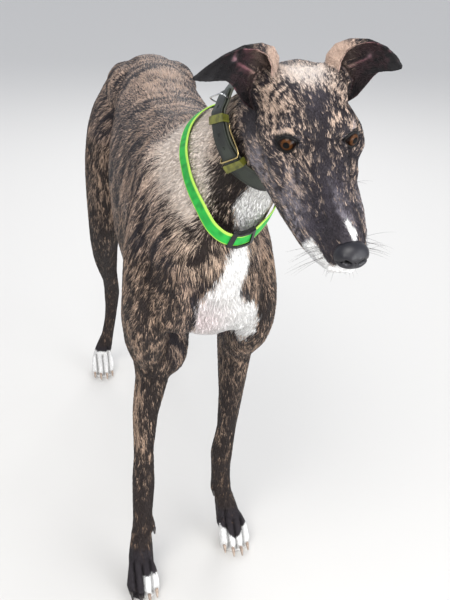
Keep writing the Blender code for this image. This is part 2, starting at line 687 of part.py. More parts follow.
def strap_box(bm, strap, lengths, acrosses, heights, steps=1):
    """A box bent to the strap, between two lengths, two reaches across and two heights."""
    rings = []
    corners = [(acrosses[i], heights[j]) for i, j in ((0, 0), (1, 0), (1, 1), (0, 1))]
    for n in range(steps + 1):
        along = lengths[0] + (lengths[1] - lengths[0]) * n / steps
        rings.append([bm.verts.new(strap.place(strap.start, along, *corner)) for corner in corners])
    for near, far in zip(rings, rings[1:]):
        for k in range(4):
            bm.faces.new((near[k], near[(k + 1) % 4], far[(k + 1) % 4], far[k]))
    bm.faces.new(rings[0][::-1])
    bm.faces.new(rings[-1])


def strap_sleeve(bm, strap, lengths, half_width, heights, wall, steps=2):
    """A flat sleeve round the strap: the space inside it, and a wall all round that."""
    low, high = heights
    inner = [(-half_width, low), (half_width, low), (half_width, high), (-half_width, high)]
    outer = [(x + math.copysign(wall, x), h + (wall if h == high else -wall)) for x, h in inner]
    rows = []
    for along in np.linspace(*lengths, steps + 1):
        row = []
        for loop in (inner, outer):
            row.append([bm.verts.new(strap.place(strap.start, along, *corner)) for corner in loop])
        rows.append(row)
    for k in range(4):
        after = (k + 1) % 4
        for (near_in, near_out), (far_in, far_out) in zip(rows, rows[1:]):
            bm.faces.new((near_in[k], near_in[after], far_in[after], far_in[k]))
            bm.faces.new((near_out[k], far_out[k], far_out[after], near_out[after]))
        for rim_in, rim_out in (rows[0], rows[-1]):
            bm.faces.new((rim_in[k], rim_out[k], rim_out[after], rim_in[after]))


def wire_loop(bm, points, radius, sides=5):
    """A closed loop of round wire through the points."""
    count = len(points)
    flat = (points[1] - points[0]).cross(points[2] - points[1]).normalized()
    rings = []
    for n in range(count):
        heading = (points[(n + 1) % count] - points[n - 1]).normalized()
        side = heading.cross(flat).normalized()
        upright = side.cross(heading)
        ring = []
        for k in range(sides):
            turn = 2 * math.pi * k / sides
            ring.append(bm.verts.new(points[n] + (side * math.cos(turn) + upright * math.sin(turn)) * radius))
        rings.append(ring)
    for near, far in zip(rings, rings[1:] + rings[:1]):
        for k in range(sides):
            bm.faces.new((near[k], near[(k + 1) % sides], far[(k + 1) % sides], far[k]))


def buckle_course(half_wide, over):
    """A square wire frame that a strap threads: its upper bar lies under the strap, its lower bar over it. Each
    point is a length along the strap, a reach across it and a height."""
    half = BUCKLE_LENGTH / 2
    beside = half_wide + WIRE_RADIUS + 3 * LAYER_GAP
    under = -WIRE_RADIUS - 2 * LAYER_GAP
    level = LEATHER_THICKNESS / 2
    inside = BUCKLE_BAR_SHARE * half_wide
    return (
        (-half, -inside, under),
        (-half, inside, under),
        (-0.8 * half, inside, under),
        (0.4 * half, inside, under),
        (0.6 * half, beside, under),
        (0.8 * half, beside, level),
        (half, beside, over),
        (half, inside, over),
        (half, -inside, over),
        (half, -beside, over),
        (0.8 * half, -beside, level),
        (-0.8 * half, -beside, level),
        (-half, -beside, under),
    )


def make_leather_collar(tree):
    strap = Strap(tree, **LEATHER_COURSE)
    leather = material("collar_leather", (0.030, 0.036, 0.028), 0.42)
    olive = material("keeper_leather", (0.120, 0.130, 0.020), 0.45)
    wide = strap.half_width
    bm = bmesh.new()
    strap_ring(bm, strap, LEATHER_THICKNESS)
    add_object("collar_strap", bm, leather)
    low = LEATHER_THICKNESS + LAYER_GAP
    high = low + LEATHER_THICKNESS
    bm = bmesh.new()
    strap_box(bm, strap, TONGUE_LENGTHS, (TONGUE_INSET - wide, wide - TONGUE_INSET), (low, high), 12)
    add_object("collar_tongue", bm, leather)
    for name, lengths in (("keeper", KEEPER_LENGTHS), ("end_keeper", END_KEEPER_LENGTHS)):
        bm = bmesh.new()
        strap_sleeve(bm, strap, lengths, wide + LAYER_GAP, (-LAYER_GAP, high + LAYER_GAP), KEEPER_WALL)
        add_object(f"collar_{name}", bm, olive)
    over = high + WIRE_RADIUS + 2 * LAYER_GAP
    bm = bmesh.new()
    wire_loop(bm, [strap.place(strap.start, *point) for point in buckle_course(wide, over)], WIRE_RADIUS)
    add_object("collar_buckle", bm, material("collar_brass", (0.620, 0.480, 0.220), 0.25, 1.0))
    beside = wide + WIRE_RADIUS + 2 * LAYER_GAP
    around = []
    for k in range(RING_CORNERS):
        turn = 2 * math.pi * (k + 0.5) / RING_CORNERS
        across, up = (
            max(-1, min(1, reach * f(turn))) for reach, f in zip(RING_SQUARENESS, (math.cos, math.sin))
        )
        around.append((beside * across, high / 2 + RING_HEIGHT / 2 * up))
    bm = bmesh.new()
    wire_loop(bm, [strap.place(strap.start, RING_LENGTH, *point) for point in around], WIRE_RADIUS)
    add_object("collar_ring", bm, material("collar_steel", (0.700, 0.710, 0.720), 0.15, 1.0))


def make_nylon_collar(tree):
    strap = Strap(tree, **NYLON_COURSE)
    bm = bmesh.new()
    strap_ring(bm, strap, NYLON_THICKNESS)
    add_object("band_strap", bm, material("band_nylon", (0.055, 0.520, 0.060), 0.5))
    wide = strap.half_width + SLIDE_PLAY
    bm = bmesh.new()
    strap_sleeve(bm, strap, SLIDE_LENGTHS, wide, (-SLIDE_PLAY, NYLON_THICKNESS + SLIDE_PLAY), SLIDE_WALL, 6)
    slide = add_object("band_slide", bm, material("band_plastic", (0.012, 0.012, 0.014), 0.4))
    window = (SLIDE_LENGTHS[0] + SLIDE_BAR, SLIDE_LENGTHS[1] - SLIDE_BAR)
    wide = strap.half_width - SLIDE_RIM
    bm = bmesh.new()
    strap_box(bm, strap, window, (-wide, wide), (NYLON_THICKNESS / 2, SLIDE_WINDOW_TOP))
    boolean(slide, add_object("cutter", bm), "DIFFERENCE")


# ---- head pieces ----
def eye_turn(side):
    """The eye's own frame turned so that its -Y looks out of the lids."""
    return Matrix.Rotation(EYE_OUTWARD * side, 4, "Z") @ Matrix.Rotation(-EYE_UPWARD, 4, "X")


def make_eyes(body):
    """Each eyeball sits in a socket, behind an almond opening between the lids."""
    ball_material = material("eye", (0.055, 0.028, 0.012), 0.06)
    for name, side in SIDES.items():
        centre = Vector((EYE_PLACE.x * side, EYE_PLACE.y, EYE_PLACE.z))
        turn = eye_turn(side)
        for radii, shift in (((EYE_RADIUS + CUT,) * 3, 0.0), (LID_OPENING, EYE_RADIUS)):
            bm = bmesh.new()
            ahead = turn @ Vector((0, -shift, 0))
            globe(bm, centre + ahead, radii, HEAD, turn)
            boolean(body, add_object("cutter", bm), "DIFFERENCE")
        bm = bmesh.new()
        globe(bm, centre, (EYE_RADIUS,) * 3, HEAD, turn)
        add_object(f"eye_{name}", bm, ball_material)


def make_nose(body):
    """The bare nose, seated in the end of the muzzle."""
    for grow, cutting in ((CUT, True), (0.0, False)):
        bm = bmesh.new()
        globe(bm, NOSE_PLACE, [radius + grow for radius in NOSE_RADII], HEAD)
        if cutting:
            boolean(body, add_object("cutter", bm), "DIFFERENCE")
        else:
            add_object("nose", bm, material("nose_leather", (0.020, 0.021, 0.026), 0.38))


def make_ears(clearance):
    """Each ear is a cupped sheet that rises from the skull and folds outwards to its tip."""
    fur = material("ear_coat", (0.060, 0.050, 0.048), 0.75)
    for name, side in SIDES.items():
        rows = np.array(EAR_ROWS)
        bm = bmesh.new()
        lines = []
        for n, (outer, ridge, inner) in enumerate(rows):
            middle = (outer + inner) / 2
            stretch = 1 + EAR_STRETCH[name] * n / (len(rows) - 1)
            line = []
            for k in range(EAR_ACROSS + 1):
                turn = math.pi * (k / EAR_ACROSS - 0.5)
                point = middle + (inner - outer) / 2 * math.sin(turn)
                point += (ridge - middle) * (EAR_BULGE * math.cos(turn))
                line.append(bm.verts.new(HEAD @ Vector((point[0] * stretch * side, point[1], point[2]))))
            lines.append(line)
        for near, far in zip(lines, lines[1:]):
            for k in range(EAR_ACROSS):
                bm.faces.new((near[k], near[k + 1], far[k + 1], far[k])[::side])
        bmesh.ops.remove_doubles(bm, verts=bm.verts, dist=EAR_WELD)
        mesh = bpy.data.meshes.new("ear")
        bm.to_mesh(mesh)
        bm.free()
        ear = bpy.data.objects.new(f"ear_{name}", mesh)
        bpy.context.scene.collection.objects.link(ear)
        thicken = ear.modifiers.new("thicken", "SOLIDIFY")
        thicken.thickness = EAR_THICKNESS
        thicken.offset = 0.0
        apply_modifiers(ear)
        ear.data.materials.append(fur)
        boolean(ear, clearance, "DIFFERENCE", drop_cutter=False)
        keep_body(ear, lambda place: -place.z)


# ---- parting ----
def plane_frame(place, facing):
    """A frame at a place, whose +Y is the way that a cutting plane faces."""
    ahead = Vector(facing).normalized()
    across = ahead.cross(Vector((0, 0, 1))).normalized()
    frame = Matrix((across, ahead, across.cross(ahead))).transposed().to_4x4()
    frame.translation = place
    return frame


def part_off(rest, name, surface, low, high, place=Matrix()):
    """Makes a piece of the part of the flesh inside a box, and takes it off the rest with a thin cut."""
    piece = copy_object(rest, name)
    boolean(piece, box_object(low, high, place), "INTERSECT")
    boolean(rest, box_object(low, high, place, CUT), "DIFFERENCE")
    keep_largest(rest)
    keep_largest(piece)
    piece.data.materials.clear()
    piece.data.materials.append(surface)


def part_flesh(flesh):
    """Divides the flesh where a person would name its parts."""
    brindle = material("coat_brindle", (0.085, 0.070, 0.062), 0.75)
    dark = material("coat_dark", (0.040, 0.036, 0.036), 0.72)
    white = material("coat_white", (0.620, 0.585, 0.540), 0.78)
    face = material("coat_face", (0.105, 0.090, 0.084), 0.74)
    part_off(flesh, "jaw", white, (-SPAN, -SPAN, JAW_LEVEL - JAW_DEPTH), (SPAN, JAW_BACK, JAW_LEVEL), HEAD)
    part_off(flesh, "head", face, (-SPAN, -SPAN, -SPAN), (SPAN, 0, SPAN), plane_frame(*HEAD_CUT))
    part_off(flesh, "neck", brindle, (-SPAN, -SPAN, -NECK_DEPTH), (SPAN, 0, SPAN), plane_frame(*NECK_CUT))
    part_off(flesh, "tail_tip", dark, (-TAIL_HALF, TAIL_FRONT, TAIL_LOW), (TAIL_HALF, 1, TAIL_DIVIDE))
    part_off(flesh, "tail_base", brindle, (-TAIL_HALF, TAIL_FRONT, TAIL_LOW), (TAIL_HALF, 1, TAIL_TOP))
    for name, side in SIDES.items():
        for piece, surface, spans in (
            (f"fore_paw_{name}", white, FORE_PAW_BOX),
            (f"fore_pastern_{name}", dark, FORE_PASTERN_BOX),
            (f"forearm_{name}", brindle, FOREARM_BOX),
            (f"upper_arm_{name}", brindle, UPPER_ARM_BOX),
            (f"hind_paw_{name}", white, HIND_PAW_BOX),
            (f"hind_pastern_{name}", dark, HIND_PASTERN_BOX),
            (f"shank_{name}", brindle, SHANK_BOX),
            (f"thigh_{name}", brindle, THIGH_BOX),
        ):
            inner, outer, *rest = spans
            across = sorted((inner * side, outer * side))
            part_off(flesh, piece, surface, (across[0], rest[0], rest[2]), (across[1], rest[1], rest[3]))
    part_off(flesh, "chest", brindle, (-SPAN, -SPAN, BELLY_LOW), (SPAN, CHEST_BACK, 1))
    part_off(flesh, "loin", brindle, (-SPAN, -SPAN, BELLY_LOW), (SPAN, LOIN_BACK, 1))
    flesh.name = "rump"
    flesh.data.materials.clear()
    flesh.data.materials.append(brindle)


def stand_at_origin():
    """Brings the middle of the model's box to x = 0 and y = 0, by one parent for every piece."""
    pieces = list(bpy.data.objects)
    bpy.context.view_layer.update()
    corners = np.array([obj.matrix_world @ Vector(corner) for obj in pieces for corner in obj.bound_box])
    low, high = corners.min(axis=0), corners.max(axis=0)
    middle = bpy.data.objects.new("middle", None)
    bpy.context.scene.collection.objects.link(middle)
    middle.location = (-(low[0] + high[0]) / 2, -(low[1] + high[1]) / 2, -low[2])
    for piece in pieces:
        piece.parent = middle
        piece.data.shade_smooth()
        piece.data.set_sharp_from_angle(angle=SHARP_ANGLE)


def main():
    clear_scene()
    flesh = build_flesh()
    thin_out(flesh)
    flatten_soles(flesh)
    make_eyes(flesh)
    make_nose(flesh)
    clearance = copy_object(flesh, "clearance")
    swell = clearance.modifiers.new("swell", "DISPLACE")
    swell.strength = CUT
    swell.mid_level = 0.0
    apply_modifiers(clearance)
    around_neck = BVHTree.FromObject(flesh, bpy.context.evaluated_depsgraph_get())
    make_leather_collar(around_neck)
    make_nylon_collar(around_neck)
    make_ears(clearance)
    make_claws(clearance)
    bpy.data.objects.remove(clearance)
    part_flesh(flesh)
    stand_at_origin()


if __name__ == "__main__":
    main()
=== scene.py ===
"""The looks of a brindle greyhound that stands with its head lowered, in two collars.

One skin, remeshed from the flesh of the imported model, carries a coat of short mesh tufts. Metres, +Z up. The
dog faces -Y and its left side is +X. Sizes on the head are in its own frame: from midway between the eyes, with
the nose towards -Y.
"""

import itertools
import json
import math

import bmesh
import bpy
import numpy as np
from mathutils import Matrix, Vector
from mathutils.bvhtree import BVHTree

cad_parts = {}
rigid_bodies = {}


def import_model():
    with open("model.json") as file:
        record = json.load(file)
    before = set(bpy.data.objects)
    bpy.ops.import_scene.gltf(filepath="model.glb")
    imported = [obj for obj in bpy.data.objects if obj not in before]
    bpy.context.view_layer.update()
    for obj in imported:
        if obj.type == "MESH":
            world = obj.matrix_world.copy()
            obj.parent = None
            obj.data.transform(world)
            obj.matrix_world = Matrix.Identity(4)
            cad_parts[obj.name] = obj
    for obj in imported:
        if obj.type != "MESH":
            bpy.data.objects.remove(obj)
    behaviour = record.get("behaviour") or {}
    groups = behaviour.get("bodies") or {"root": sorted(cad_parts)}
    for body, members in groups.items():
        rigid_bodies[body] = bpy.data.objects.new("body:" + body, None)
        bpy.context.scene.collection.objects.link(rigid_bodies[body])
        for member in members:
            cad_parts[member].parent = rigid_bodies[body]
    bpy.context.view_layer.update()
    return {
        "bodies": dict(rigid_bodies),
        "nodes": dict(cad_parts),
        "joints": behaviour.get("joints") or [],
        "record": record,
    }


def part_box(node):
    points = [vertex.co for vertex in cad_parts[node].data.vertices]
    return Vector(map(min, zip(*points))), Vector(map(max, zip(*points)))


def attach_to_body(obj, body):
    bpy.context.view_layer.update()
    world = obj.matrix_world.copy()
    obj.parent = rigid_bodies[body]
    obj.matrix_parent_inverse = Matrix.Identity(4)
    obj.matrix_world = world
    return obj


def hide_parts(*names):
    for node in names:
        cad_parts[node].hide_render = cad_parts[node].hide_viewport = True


MM = 0.001

# ---- camera ----
CAMERA_PLACE = (-0.2192, -1.3331, 0.9690)
CAMERA_YAW = 0.20383
CAMERA_PITCH = 0.41756  # down
CAMERA_ROLL = 0.01758
CAMERA_LENS = 55.8  # on the default 36 mm of the picture's long side

# ---- skin ----
BODY_VOXEL = 3.6 * MM
HEAD_VOXEL = 1.3 * MM
PAW_VOXEL = 1.8 * MM
OVERLAP = 0.5 * MM  # how far the pieces of flesh are swollen to meet across their cuts
PAW_LEVEL = 0.080  # where the finer mesh of the paws meets the body's
SEAM_PLACE = (0.0270, -0.3566, 0.7255)  # where the finer mesh of the head does, under the leather collar
SEAM_FACING = (-0.294, 0.890, -0.348)
SEAM_GAP = 1.0 * MM
LID_RADIUS = 13.4 * MM
EYE_RADIUS = 11.2 * MM
NOSE_RADII = (17.0 * MM, 13.0 * MM, 14.5 * MM)
NOSE_FALL = math.atan2(23.5, 133.5)  # the angle by which the nose is lower than the eyes, in the head's frame
EYE_OUTWARD, EYE_UPWARD = math.radians(28), math.radians(12)
EYE_REGION = 36 * MM  # how far from an eye's middle the skin may be shaped by it
SIDES = {"right": -1, "left": 1}

# Regions of the body: what the names of their CAD nodes start with, the coat's depth, and the tufts' length
# and width, in mm, and the skin that each tuft has, in square mm.
REGIONS = {
    "head": (("head", "jaw", "nose"), 0.9, 5.0, 0.62, 1.25),
    "ear": (("ear",), 0.45, 3.6, 0.55, 1.2),
    "neck": (("neck",), 1.8, 12.0, 0.85, 2.7),
    "trunk": (("chest", "loin", "rump"), 1.8, 12.0, 1.0, 3.7),
    "limb": (("upper_arm", "forearm", "thigh", "shank"), 1.5, 9.5, 0.95, 4.0),
    "pastern": (("fore_pastern", "hind_pastern"), 1.1, 6.5, 0.8, 2.6),
    "paw": (("fore_paw", "hind_paw"), 0.9, 4.6, 0.7, 1.9),
    "tail": (("tail",), 1.6, 11.0, 0.95, 2.9),
}
NODES, DEPTH, LENGTH, WIDTH, AREA = range(5)
BODY_NODES = ("head", "jaw", "neck", "chest", "loin", "rump", "tail", "upper_arm", "forearm", "thigh", "shank")
PAW_NODES = ("fore_pa", "hind_pa")  # paws and pasterns
MIDDLE = -0.0290  # the x of the trunk's middle


# ---- small helpers ----
def unit(rows):
    return rows / np.maximum(np.linalg.norm(rows, axis=-1, keepdims=True), 1e-12)


def ramp(values, low, high):
    """0 below low, 1 above high, and smooth between."""
    share = np.clip((values - low) / (high - low), 0, 1)
    return share * share * (3 - 2 * share)


def noise(points, size, seed):
    """Smooth noise from -1 to 1, with bumps about `size` across, which may differ from axis to axis."""
    cells = points / size + 7.31 * seed
    base = np.floor(cells).astype(np.int64)
    share = cells - base
    share = share * share * (3 - 2 * share)
    total = np.zeros(len(points))
    for corner in itertools.product((0, 1), repeat=3):
        near = base + corner
        mixed = near[:, 0] * 73856093 ^ near[:, 1] * 19349663 ^ near[:, 2] * 83492791 ^ (seed * 2654435 + 97)
        mixed = ((mixed ^ (mixed >> 13)) * 1274126177) & 0xFFFFFFFF
        mixed = ((mixed ^ (mixed >> 16)) * 668265263) & 0xFFFFFFFF
        value = ((mixed ^ (mixed >> 15)) & 0xFFFF) / 32767.5 - 1
        weight = np.prod(np.where(corner, share, 1 - share), axis=1)
        total += value * weight
    return total


def blob(points, centre, radii):
    """1 at a centre, falling to near 0 past the radii."""
    return np.exp(-(((points - np.array(centre)) / np.array(radii)) ** 2).sum(axis=1))


def band(points, start, end, radius):
    """1 along a line between two points, falling to near 0 past the radius."""
    start, end = np.array(start), np.array(end)
    share = np.clip((points - start) @ (end - start) / ((end - start) @ (end - start)), 0, 1)
    gap = np.linalg.norm(points - start - share[:, None] * (end - start), axis=1)
    return np.exp(-((gap / radius) ** 2))


def lines(points, table, scale=1.0):
    """The sum of the table's bands: two ends, radius and amount."""
    total = np.zeros(len(points))
    for start, end, radius, amount in table:
        total += amount * band(points, np.array(start) * scale, np.array(end) * scale, radius * scale)
    return total


def patches(points, table, scale=1.0):
    """The sum of the table's blobs: centre, radii and amount."""
    total = np.zeros(len(points))
    for centre, radii, amount in table:
        total += amount * blob(points, np.array(centre) * scale, np.array(radii) * scale)
    return total


def folded(points):
    """Points with those of the right side brought over to the left."""
    return points * np.where(points[:, :1] < 0, (-1, 1, 1), (1, 1, 1))


def mix(under, over, share):
    return under + (over - under) * share[:, None]


def by_region(weights):
    """Each region's share of each point, by the region's name."""
    return dict(zip(REGIONS, weights.T))


def per_region(weights, column):
    """A column of the regions' table, blended at each point, in metres."""
    return weights @ np.array([spec[column] for spec in REGIONS.values()]) * MM


def linear(red, green, blue):
    """A colour as it is seen, from 0 to 255, in linear light."""
    return np.array([(channel / 255) ** 2.2 for channel in (red, green, blue)])


def new_object(name, mesh, surface=None):
    obj = bpy.data.objects.new(name, mesh)
    bpy.context.scene.collection.objects.link(obj)
    if surface:
        mesh.materials.append(surface)
    return obj


def finished(obj):
    """The object's mesh with its modifiers applied."""
    bpy.context.view_layer.update()
    mesh = bpy.data.meshes.new_from_object(obj.evaluated_get(bpy.context.evaluated_depsgraph_get()))
    bpy.data.objects.remove(obj)
    return mesh


def mesh_of(bm, name="part"):
    """The mesh of a bmesh, which is freed."""
    mesh = bpy.data.meshes.new(name)
    bm.to_mesh(mesh)
    bm.free()
    return mesh


def mesh_from(name, points, faces):
    mesh = bpy.data.meshes.new(name)
    mesh.from_pydata([tuple(point) for point in points], [], faces)
    mesh.validate()
    return mesh


def read(rows, key, width, kind=np.float32):
    """An array of one value of a mesh's points, edges or triangles."""
    values = np.empty(len(rows) * width, kind)
    rows.foreach_get(key, values)
    return values.reshape(-1, width)


def points_of(mesh, what="co"):
    return read(mesh.vertices, what, 3).astype(float)


def set_points(mesh, rows):
    mesh.vertices.foreach_set("co", np.ascontiguousarray(rows, np.float32).ravel())
    mesh.update()


def set_colours(mesh, name, colours):
    layer = mesh.color_attributes.new(name, "FLOAT_COLOR", "POINT")
    rgba = np.ones((len(colours), 4), np.float32)
    rgba[:, :3] = colours
    layer.data.foreach_set("color", rgba.ravel())


def edges_of(mesh):
    return read(mesh.edges, "vertices", 2, np.int32)


def spread(values, edges, passes, share=0.5):
    """Values on a mesh's points, each brought towards its neighbours' mean. share may differ by point."""
    values = np.array(values, float)
    count = len(values)
    flat = values.reshape(count, -1)
    neighbours = np.maximum(np.bincount(edges.ravel(), minlength=count), 1)[:, None]
    share = np.broadcast_to(np.asarray(share, float).reshape(-1, 1), (count, 1))
    for _ in range(passes):
        total = np.empty_like(flat)
        for k in range(flat.shape[1]):
            total[:, k] = np.bincount(edges[:, 0], flat[edges[:, 1], k], count)
            total[:, k] += np.bincount(edges[:, 1], flat[edges[:, 0], k], count)
        flat = flat + share * (total / neighbours - flat)
    return flat.reshape(values.shape)


# ---- frames ----
def centre_of(node):
    low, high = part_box(node)
    return (low + high) / 2


def head_frame():
    """The head's own frame, from its eyes and nose."""
    between = (centre_of("eye_right") + centre_of("eye_left")) / 2
    across = (centre_of("eye_left") - centre_of("eye_right")).normalized()
    to_nose = centre_of("nose") - between
    to_nose = (to_nose - across * to_nose.dot(across)).normalized()
    ahead = Matrix.Rotation(-NOSE_FALL, 3, across) @ to_nose
    up = ahead.cross(across).normalized()
    frame = Matrix((across, -ahead, up)).transposed().to_4x4()
    frame.translation = between + up * 3 * MM - ahead * 1 * MM
    return frame


def in_frame(frame, points):
    """Points in a frame's own coordinates."""
    inverse = np.array(frame.inverted())
    return points @ inverse[:3, :3].T + inverse[:3, 3]


def in_head(points):
    return in_frame(HEAD, points)


def turned_to_head(ways):
    """Ways, such as normals, in the head's frame."""
    return ways @ np.array(HEAD.to_3x3())


def turned_from_head(ways):
    return ways @ np.array(HEAD.to_3x3()).T


def nose_frame():
    return Matrix.Translation(centre_of("nose")) @ HEAD.to_3x3().to_4x4()


def out_of_frame(frame, points):
    whole = np.array(frame)
    return np.asarray(points, float) @ whole[:3, :3].T + whole[:3, 3]


def eye_frame(side):
    """An eye's own frame: it looks towards -Y, outwards and a little up."""
    turn = Matrix.Rotation(EYE_OUTWARD * side, 4, "Z") @ Matrix.Rotation(-EYE_UPWARD, 4, "X")
    return HEAD @ Matrix.Translation((30 * MM * side, -1 * MM, -3 * MM)) @ turn


# ---- skin ----
def node_mesh(name):
    """A CAD node's mesh with its split points joined."""
    bm = bmesh.new()
    bm.from_mesh(frame["nodes"][name].data)
    bmesh.ops.remove_doubles(bm, verts=bm.verts, dist=1e-6)
    bm.verts.index_update()
    bm.normal_update()
    return bm


def nodes_named(*starts):
    return [name for name in sorted(frame["nodes"]) if name.startswith(starts)]


def add_ball(bm, place, *radii):
    bmesh.ops.create_icosphere(bm, subdivisions=4, radius=1, matrix=place @ Matrix.Diagonal((*radii, 1)))


def plug_eyes(bm):
    """Fills the seats of the eyes out to the lids."""
    for side in SIDES.values():
        add_ball(bm, eye_frame(side), LID_RADIUS, LID_RADIUS, LID_RADIUS)


def joined(starts, voxel, passes):
    """One closed mesh of the nodes whose names start so, with the seats of the eyes and the nose filled, by a
    voxel remesh, smoothed."""
    whole = bmesh.new()
    for name in nodes_named(*starts):
        bm = node_mesh(name)
        for vert in bm.verts:
            vert.co += vert.normal * OVERLAP
        held = mesh_of(bm)
        whole.from_mesh(held)
        bpy.data.meshes.remove(held)
    plug_eyes(whole)
    add_ball(whole, nose_frame(), *[radius - 1 * MM for radius in NOSE_RADII])
    obj = new_object("joined", mesh_of(whole))
    remesh = obj.modifiers.new("remesh", "REMESH")
    remesh.mode = "VOXEL"
    remesh.voxel_size = voxel
    soften = obj.modifiers.new("soften", "SMOOTH")
    soften.factor = 0.5
    soften.iterations = passes
    return finished(obj)


def cut_part(mesh, cuts):
    """A mesh without what lies beyond each plane."""
    bm = bmesh.new()
    bm.from_mesh(mesh)
    for place, facing in cuts:
        everything = bm.verts[:] + bm.edges[:] + bm.faces[:]
        bmesh.ops.bisect_plane(bm, geom=everything, plane_co=place, plane_no=facing, clear_outer=True)
    return mesh_of(bm)


def bridge(bm, chosen):
    """Joins the two open rims whose edges are chosen."""
    rims = [edge for edge in bm.edges if edge.is_boundary and chosen((edge.verts[0].co + edge.verts[1].co) / 2)]
    made = bmesh.ops.bridge_loops(bm, edges=rims)
    bmesh.ops.triangulate(bm, faces=[face for face in made["faces"] if face.is_valid])


def build_skin():
    """The whole skin: the body at a wide spacing, and the head, ears and paws at a fine one, bridged under
    the leather collar and above the paws."""
    facing = Vector(SEAM_FACING).normalized()
    seam, level, up = Vector(SEAM_PLACE), Vector((0, 0, PAW_LEVEL)), Vector((0, 0, 1))
    behind_seam, before_seam = (seam + facing * SEAM_GAP, -facing), (seam - facing * SEAM_GAP, facing)
    over_paws, on_paws = (level + up * SEAM_GAP, -up), (level - up * SEAM_GAP, up)
    whole = bmesh.new()
    for starts, voxel, passes, cuts in (
        (BODY_NODES + PAW_NODES, BODY_VOXEL, 12, (behind_seam, over_paws)),
        (("head", "jaw", "neck", "ear"), HEAD_VOXEL, 4, (before_seam,)),
        (PAW_NODES, PAW_VOXEL, 4, (on_paws,)),
    ):
        whole.from_mesh(cut_part(joined(starts, voxel, passes), cuts))
    bridge(whole, lambda place: place.z > 2 * PAW_LEVEL)
    for across, along in itertools.product((-1, 1), (-1, 1)):
        bridge(whole, lambda place: place.z < 2 * PAW_LEVEL and place.x * across > 0 and place.y * along > 0)
    return mesh_of(whole, "skin")


def region_weights(points, edges, tree, owners):
    """How far each point belongs to each region, smooth across their borders, as a column for each region."""
    found = np.zeros((len(points), len(REGIONS)))
    for row, point in enumerate(points):
        found[row, owners[tree.find_nearest(point)[2]]] = 1.0
    return spread(found, edges, 14)


def solids_tree():
    """The CAD solids of flesh, with the eyes' plugs, as a tree for rays, and the region of each face."""
    points, faces, owners = [], [], []

    def take(bm, region):
        first = len(points)
        points.extend(vert.co.copy() for vert in bm.verts)
        faces.extend([first + vert.index for vert in face.verts] for face in bm.faces)
        owners.extend([region] * len(bm.faces))
        bm.free()

    for name in nodes_named(*BODY_NODES, *PAW_NODES, "nose", "ear_"):
        region = next(n for n, spec in enumerate(REGIONS.values()) if name.startswith(spec[NODES]))
        take(node_mesh(name), region)
    plugs = bmesh.new()
    plug_eyes(plugs)
    plugs.verts.index_update()
    take(plugs, list(REGIONS).index("head"))
    return BVHTree.FromPolygons(points, faces), owners


def settle(mesh, tree, weights):
    """Moves the skin's points along their normals, to lie under the solids' surface by the coat's depth."""
    edges = edges_of(mesh)
    target = per_region(weights, DEPTH)
    reach = 5 * MM
    for _ in range(2):
        points, normals = points_of(mesh), points_of(mesh, "normal")
        off = np.zeros(len(points))
        for row, (point, normal) in enumerate(zip(points + normals * reach, normals)):
            _, facing, _, distance = tree.ray_cast(point, -normal, 2.4 * reach)
            if facing is not None and facing.dot(Vector(normal)) > 0.5:
                off[row] = reach - distance - target[row]
        set_points(mesh, points + normals * spread(off, edges, 8)[:, None])


def sculpt(mesh, weights):
    """Adds what the solids leave out: furrows, brows, lips, ribs, tendons and the grooves between toes."""
    points, normals = points_of(mesh), points_of(mesh, "normal")
    shares = by_region(weights)
    head = in_head(points)
    in_ear = shares["ear"] * ramp(inside_ear(head, turned_to_head(normals)), 0.55, 0.75)
    rise = MM * shares["head"] * lines(folded(head), HEAD_FORMS, MM)
    rise += MM * in_ear * (2.6 * patches(head, EAR_KNOBS, MM) + lines(head, EAR_FORMS, MM))
    rise += MM * (1 - shares["head"]) * lines(points, THROAT_FOLD)
    rise += body_forms(points, normals, shares["trunk"]) + leg_forms(points, shares["paw"])
    set_points(mesh, points + normals * rise[:, None])


# Skin that hangs over the leather collar, as a line's two ends and its radius in metres and its height in mm.
THROAT_FOLD = (((-0.008, -0.384, 0.694), (0.016, -0.386, 0.672), 0.015, 8),)
# Forms of the head, on its left side and mirrored: a line's two ends, its radius and its height, in mm.
HEAD_FORMS = (
    ((0, -24, 14), (0, 48, 34), 6.0, -1.3),  # furrow of the forehead
    ((20, -10, 9), (36, 10, 12), 5.0, 1.4),  # brow
    ((22, -16, -3), (29, -52, -16), 4.0, -1.0),  # hollow below the eye
    ((30, -22, -22), (40, 12, -26), 5.0, 0.9),  # arch of the cheek
    ((33, 30, 10), (26, 48, 16), 9.0, -1.2),  # temple
    ((9, -132, -43), (17, -122, -47), 1.5, -1.3),  # mouth, front
    ((17, -122, -47), (30, -92, -47), 1.5, -1.4),
    ((30, -92, -47), (38, -46, -51), 1.5, -1.3),
    ((38, -46, -51), (41, -32, -55), 2.2, -1.4),  # corner of the mouth
    ((16, -124, -40), (28, -94, -40), 3.5, 0.8),  # upper lip
    ((0, -60, -1), (0, -124, -10), 5.0, 0.5),  # bridge
    ((9, -64, -4), (10, -112, -12), 3.5, -0.7),  # beside the bridge
    ((0, -150, -40), (0, -139, -50), 1.4, -1.2),  # cleft of the upper lip
)

# Forms of the ears' hollows, in the head's frame: a line's two ends, its radius and its height, in mm.
EAR_FORMS = (
    ((-50, 74, 24), (-70, 64, 44), 2.6, 1.5),
    ((-58, 70, 22), (-78, 62, 38), 2.4, -1.3),
    ((46, 74, 26), (60, 68, 38), 2.6, 1.5),
    ((50, 74, 22), (66, 66, 34), 2.4, -1.3),
)


